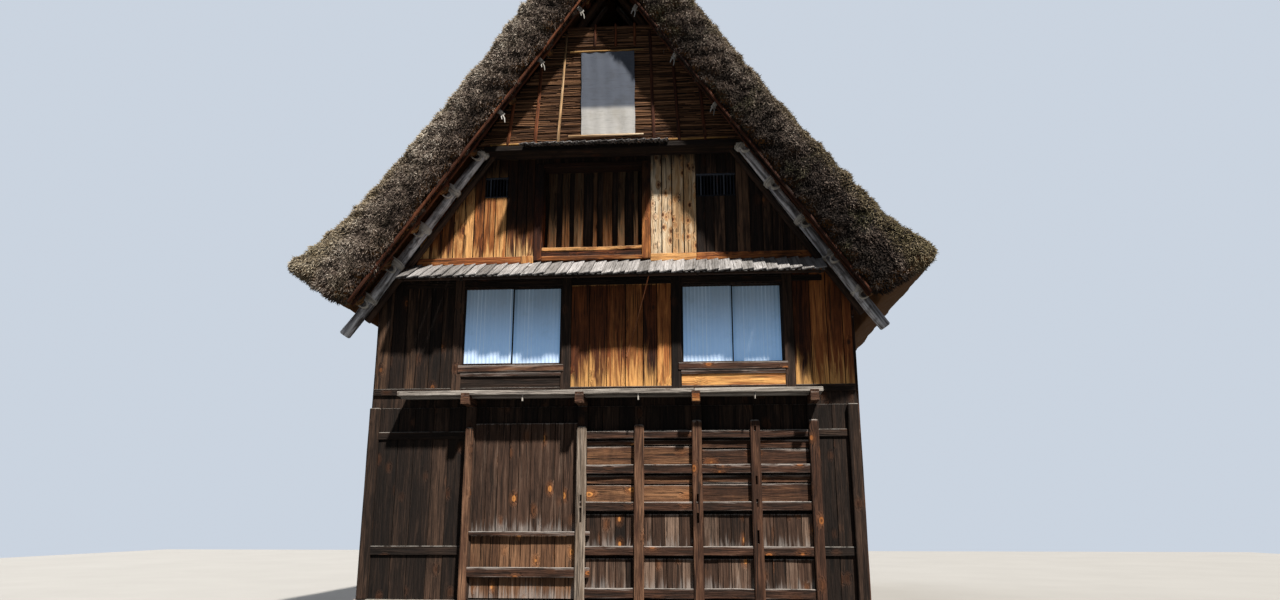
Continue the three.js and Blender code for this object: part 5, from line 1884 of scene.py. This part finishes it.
def thatch_finish(name, moss, shade_amount):
    """Weathered straw: speckled where it is cut, streaked down the slope, darker and warmer inside. The dark
    inside is partly unweathered straw and partly painted shade. The dark in the dents and on the cut ends is
    painted shade.
    """
    finish, tree, shader = new_finish(name, 0.95)
    grain = carried(tree, "grain", "Vector")
    depth = carried(tree, "depth")
    ends = carried(tree, "ends")
    place = object_place(tree)
    speckle = patchy(tree, place, 0.03, detail=6.0, rough=0.75)
    streak = patchy(tree, grain, 0.03, (9, 1, 1), 4.0, 0.7)
    colour = mixed(tree, ends, tinted(tree, streak, SLOPE_TINTS), tinted(tree, speckle, CUT_TINTS))
    patch = banded(tree, patchy(tree, place, 0.5, rough=0.65), 0.48, 0.64)
    # Darker and warmer inside, as unweathered straw is, and deeper still by painted shade.
    colour = laid(tree, banded(tree, depth, 0.3, 0.95), 0.85, colour, (60, 43, 31))
    colour = laid(tree, patch, 0.35, colour, (96, 70, 52))
    # Darker in the dents: painted shade.
    dent_shade = less(tree, banded(tree, carried(tree, "hollow"), 0.2, 0.6))
    colour = laid(tree, dent_shade, 0.6, colour, (40, 31, 25))
    outer = less(tree, banded(tree, depth, 0.02, 0.25))
    colour = laid(tree, worked(tree, "MULTIPLY", mossy(tree, place), outer), moss, colour, (96, 100, 62))
    # Darker on the cut ends, by height and by half of the roof: painted shade.
    painted_shade = worked(tree, "MULTIPLY", ends, shade_by_height(tree, place, shade_amount))
    colour = mixed(tree, painted_shade, colour, paint(26, 21, 19))
    under = less(tree, banded(tree, upward_part(tree), -0.55, -0.1))
    colour = laid(tree, under, 0.75, colour, (128, 86, 44))
    joined(tree, shader, colour, mixed(tree, ends, streak, speckle), 0.03)
    return finish


# Painted shade on each half, at the foot and high up: heavy on the right, and on the left only a little, high
# up.
THATCH_SHADE = {"left": (-0.34, 0.1), "right": (1.0, 0.42)}
MOSS = {"left": 0.35, "right": 0.6}
thatch_looks = {name: thatch_finish(f"thatch {name}", MOSS[name], THATCH_SHADE[name]) for name in THATCH_SHADE}
for name, mesh in thatch_skins.items():
    settle(f"thatch_coat_{name}", mesh, thatch_looks[name], "thatch", f"thatch_{name}")

# %% [markdown]
# Straws are grown, not drawn. Geometry nodes scatter points over the skin, stand a tiny three-sided
# spike on each and lean it the way thatch is laid: down the slope, a little outwards, and never two
# the same. The cut gable ends get many short ones, the slopes fewer and longer ones. The result is
# made real mesh at once, so nothing depends on the nodes afterwards.

# %% Nodes that grow straws
STRAW_R = 0.009


def straw_tree(mask, density, length, spread, lean, stand, seed):
    """Nodes that grow straws where a mask attribute is high, leaning down the slope."""
    group = bpy.data.node_groups.new("grow straw", "GeometryNodeTree")
    group.interface.new_socket("Skin", in_out="INPUT", socket_type="NodeSocketGeometry")
    group.interface.new_socket("Straws", in_out="OUTPUT", socket_type="NodeSocketGeometry")
    group.interface.new_socket("Way", in_out="INPUT", socket_type="NodeSocketVector")
    start = group.nodes.new("NodeGroupInput")
    end = group.nodes.new("NodeGroupOutput")
    where = node(group, "GeometryNodeInputNamedAttribute", {"Name": mask}, data_type="FLOAT")
    amount = node(group, "ShaderNodeMath", {0: where.outputs["Attribute"], 1: density}, operation="MULTIPLY")
    points = node(group, "GeometryNodeDistributePointsOnFaces",
                  {"Mesh": start.outputs["Skin"], "Density": amount.outputs[0], "Seed": seed})
    spike = node(group, "GeometryNodeMeshCone",
                 {"Vertices": 3, "Radius Top": 0.0, "Radius Bottom": STRAW_R, "Depth": 1.0}, fill_type="NONE")

    def random_vector(low, high, number):
        """A vector of its own for each straw, between two others."""
        inputs = {0: low, 1: high, "Seed": number}
        return node(group, "FunctionNodeRandomValue", inputs, data_type="FLOAT_VECTOR").outputs[0]

    def vector_sum(operation, first, second):
        """Two vectors added, or one scaled by a number."""
        inputs = {0: first}
        inputs["Scale" if operation == "SCALE" else 1] = second
        return node(group, "ShaderNodeVectorMath", inputs, operation=operation).outputs["Vector"]

    out = vector_sum("SCALE", points.outputs["Normal"], stand)
    down = vector_sum("SCALE", start.outputs["Way"], lean)
    stray = random_vector((-spread,) * 3, (spread,) * 3, seed + 1)
    heading = vector_sum("ADD", vector_sum("ADD", out, down), stray)
    turn = node(group, "FunctionNodeAlignRotationToVector", {"Vector": heading}, axis="Z")
    size = random_vector((0.7, 0.7, length[0]), (1.3, 1.3, length[1]), seed + 2)
    placed = node(group, "GeometryNodeInstanceOnPoints",
                  {"Points": points.outputs["Points"], "Instance": spike.outputs["Mesh"],
                   "Rotation": turn.outputs["Rotation"], "Scale": size})
    shade = node(group, "FunctionNodeRandomValue", {2: 0.0, 3: 1.0, "Seed": seed + 3}, data_type="FLOAT")
    toned = node(group, "GeometryNodeStoreNamedAttribute",
                 {"Geometry": placed.outputs["Instances"], "Name": "tone", "Value": shade.outputs[1]},
                 data_type="FLOAT", domain="INSTANCE")
    real = node(group, "GeometryNodeRealizeInstances", {"Geometry": toned.outputs["Geometry"]})
    group.links.new(real.outputs["Geometry"], end.inputs["Straws"])
    return group


def grown(name, mesh, tree, way):
    """Runs the nodes once on a skin, and gives back the straws as a mesh."""
    helper = bpy.data.objects.new("helper", mesh)
    scene.collection.objects.link(helper)
    growth = helper.modifiers.new("straw", "NODES")
    growth.node_group = tree
    way_socket = next(item for item in tree.interface.items_tree if item.name == "Way")
    growth[way_socket.identifier] = way
    straws = bpy.data.meshes.new_from_object(helper.evaluated_get(bpy.context.evaluated_depsgraph_get()))
    straws.name = name
    bpy.data.objects.remove(helper)
    return straws


# %% Finishes of the straws
END_TINTS = ((0.2, (38, 30, 26)), (0.45, (100, 86, 78)), (0.66, (146, 133, 122)), (0.92, (210, 202, 190)))
BLADE_TINTS = ((0.15, (70, 63, 57)), (0.5, (128, 120, 111)), (0.9, (200, 194, 184)))


def blade_finish(name, tints, moss, shade_amount=(0.0, 0.0)):
    """Single straws, each of one tone. The dark in hollows and the dark set by height are painted shade. The
    dark towards the underside is partly unweathered straw and partly painted shade.
    """
    finish, tree, shader = new_finish(name, 0.8)
    depth = carried(tree, "depth")
    place = object_place(tree)
    patch = patchy(tree, place, 0.5, rough=0.65)
    # Painted shade: darker in the hollows, towards the underside and by height.
    level = summed(tree, (carried(tree, "tone"), 0.42), (patch, 0.3), (carried(tree, "hollow"), 0.55))
    level = lowered(tree, level, banded(tree, depth, 0.2, 0.9), 0.3)
    level = lowered(tree, level, shade_by_height(tree, place, shade_amount), 0.3)
    colour = tinted(tree, level, tints)
    colour = laid(tree, less(tree, banded(tree, depth, 0.0, 0.3)), 0.5, colour, (156, 142, 110))
    colour = laid(tree, mossy(tree, place), moss, colour, (104, 106, 66))
    joined(tree, shader, colour, patchy(tree, place, 0.01, detail=2.0), 0.002)
    return finish


end_straws = {name: blade_finish(f"straw ends {name}", END_TINTS, MOSS[name] * 0.5, THATCH_SHADE[name])
              for name in THATCH_SHADE}
slope_straw = blade_finish("slope straws", BLADE_TINTS, 0.2)
print("straw finishes:", [finish.name for finish in (*end_straws.values(), slope_straw)])

# %% Straws
EAVE_CLEAR = 4.95
short_growth = straw_tree("ends", density=2500, length=(0.03, 0.078), spread=0.6, lean=0.35, stand=0.4,
                          seed=11)
long_growth = straw_tree("slope", density=260, length=(0.1, 0.24), spread=0.14, lean=1.0, stand=0.16,
                         seed=23)
for way, name in HALVES:
    mesh = thatch_skins[name]
    mask = mesh.attributes.new("slope", "FLOAT", "POINT")
    deep, cut = mesh.attributes["depth"], mesh.attributes["ends"]
    mask.data.foreach_set("value", [clamped(1 - deep.data[i].value * 3) * (1 - cut.data[i].value)
                                    * clamped((EAVE_CLEAR - abs(vert.co.x)) / 0.3)
                                    * clamped(vert.normal.z / 0.3)
                                    for i, vert in enumerate(mesh.vertices)])
    lay = SLOPE_DOWN * Vector((way, 1, 1))
    settle(f"straw_ends_{name}", grown("ends", mesh, short_growth, lay), end_straws[name], "thatch")
    settle(f"straw_slope_{name}", grown("slope", mesh, long_growth, lay), slope_straw, "thatch")

# %% [markdown]
# The ridge is closed with a saddle of long reeds laid across it, weighted with poles and tied down
# over pairs of short logs. The reeds are single sticks again, bent over the crest. They hide a core
# of packed straw that has the shape of the solid.

# %% Ridge cap
CAP_END = 7.513
CAP_PROFILE = ((-0.83, 11.2), (-0.82, 11.66), (-0.45, 11.88), (-0.1, 12.035), (0.1, 12.035), (0.45, 11.88),
               (0.82, 11.66), (0.83, 11.2))
ridge_straw = straw_finish("ridge reed", (80, 72, 62), (144, 133, 114), (204, 192, 170))
ridge_core_finish = straw_finish("ridge core", (52, 42, 32), (104, 84, 58), (150, 124, 84), along="Y")

core = remeshed("ridge_cap", 0.09)
smoothed(core, core.verts, 0.5)
mesh = bpy.data.meshes.new("ridge_core")
core.to_mesh(mesh)
core.free()
settle("ridge_core", mesh, ridge_core_finish, "ridge_straw", "ridge_cap")

RIDGE_REEDS = 620
RIDGE_REED_RADII = (0.008, 0.014)
RIDGE_REED_SPANS = ((0, 8), (0, 8), (0, 7), (1, 8))
END_SAG, SAG_FROM = 0.05, 0.3
cap = Bits("ridge_reeds")
dice = cap.dice
for n in range(RIDGE_REEDS):
    y = -CAP_END + 2 * CAP_END * (n + dice.random()) / RIDGE_REEDS
    lift = dice.uniform(0.0, 0.02)
    sag = END_SAG * max(0.0, (abs(y) - CAP_END + SAG_FROM) / SAG_FROM)
    first, last = dice.choice(RIDGE_REED_SPANS)
    wide = 1 + 0.5 * lift
    points = []
    for x, z in CAP_PROFILE[first:last]:
        points.append((x * wide, y + dice.uniform(-0.015, 0.015),
                       z + lift - sag + dice.uniform(-0.008, 0.008)))
    radius = dice.uniform(*RIDGE_REED_RADII)
    swept(cap, points, [radius] * len(points), 5)
cap.finish(ridge_straw, "ridge_straw")

# %% Ridge poles, logs and ties
RIDGE_POLES = (-0.8, -0.4, 0.0, 0.4, 0.8)
RIDGE_POLE_END = 7.953
RIDGE_POLE_R = 0.05
RIDGE_POLE_LIFT = 0.055
LOG_FOOT, LOG_HEAD = (1.33, 11.58), (-0.16, 12.3)
LOG_PAIRS = 10
LOG_STEP = 1.55
LOG_APART = 0.095
LOG_R = 0.085
LOG_TIED_AT, LOG_TIE_STEP = 0.86, 0.02
LOG_TIE_SHAPE = (0.095, 1.1)
long_poles = Bits("ridge_long_poles")


def cap_top(x):
    """Height of the cap's outer face at a distance from the ridge line."""
    for (x0, z0), (x1, z1) in zip(CAP_PROFILE, CAP_PROFILE[1:]):
        if x0 <= x <= x1:
            return z0 + (z1 - z0) * (x - x0) / (x1 - x0)
    return CAP_PROFILE[1][1]


for x in RIDGE_POLES:
    z = cap_top(x) + RIDGE_POLE_LIFT
    start, end = (x, -RIDGE_POLE_END, z), (x, RIDGE_POLE_END, z)
    pole(long_poles, start, end, RIDGE_POLE_R, 0.85, 9, 0.02)
long_poles.finish(peeled_poles, "grey_timber", "ridge_pole")

logs = Bits("saddle_logs")
log_ties = Bits("saddle_ropes")
for n in range(LOG_PAIRS):
    for way in (-1, 1):
        y = (n - (LOG_PAIRS - 1) / 2) * LOG_STEP + way * LOG_APART
        foot, head = (Vector((way * x, y, z)) for x, z in (LOG_FOOT, LOG_HEAD))
        pole(logs, foot, head, LOG_R, 0.9, 10, 0.02, rough=0.1)
        lay = (head - foot).normalized()
        for turn in (-1, 0, 1):
            middle = foot.lerp(head, LOG_TIED_AT) + lay * turn * LOG_TIE_STEP
            rope_turn(log_ties, middle, (0, 1, 0), lay, *LOG_TIE_SHAPE)
logs.finish(brown_timber, "brown_timber", "ridge_logs_left", "ridge_logs_right")
log_ties.finish(rope_finish, "ridge_straw")

# %% [markdown]
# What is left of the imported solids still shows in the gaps: wall backings and floors. Each keeps its
# shape and gets a finish through its own material slots, with the grain along its boards.

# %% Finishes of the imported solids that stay
backing = timber_finish("backing boards", *DARK, along="Z", soot=0.7, grey=0.1)
floor_boards = timber_finish("floor boards", *BROWN, along="Y")
beams_look = timber_finish("beam floor", *BROWN, along="X")
smoky_floor = timber_finish("smoky floor", *DARK, along="X", soot=0.9, grey=0.05)
STAYING = {
    backing: ("front_wall_lower", "rear_wall_left", "rear_wall_right", "rear_wall_over_door",
              "front_wall_windows", "rear_wall_windows", "front_wall_third", "rear_wall_third",
              "front_slat_panel", "rear_slat_panel", "left_wall", "right_wall"),
    floor_boards: ("ground_floor", "second_floor"),
    beams_look: ("third_floor",),
    smoky_floor: ("attic_floor",),
    reed_core: ("front_attic_wall", "rear_attic_wall"),
}
for finish, names in STAYING.items():
    for name in names:
        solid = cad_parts[name]
        if not solid.material_slots:
            solid.data.materials.append(finish)
        for material_slot in solid.material_slots:
            material_slot.material = finish
print("solids that stay:", sum(len(names) for names in STAYING.values()))
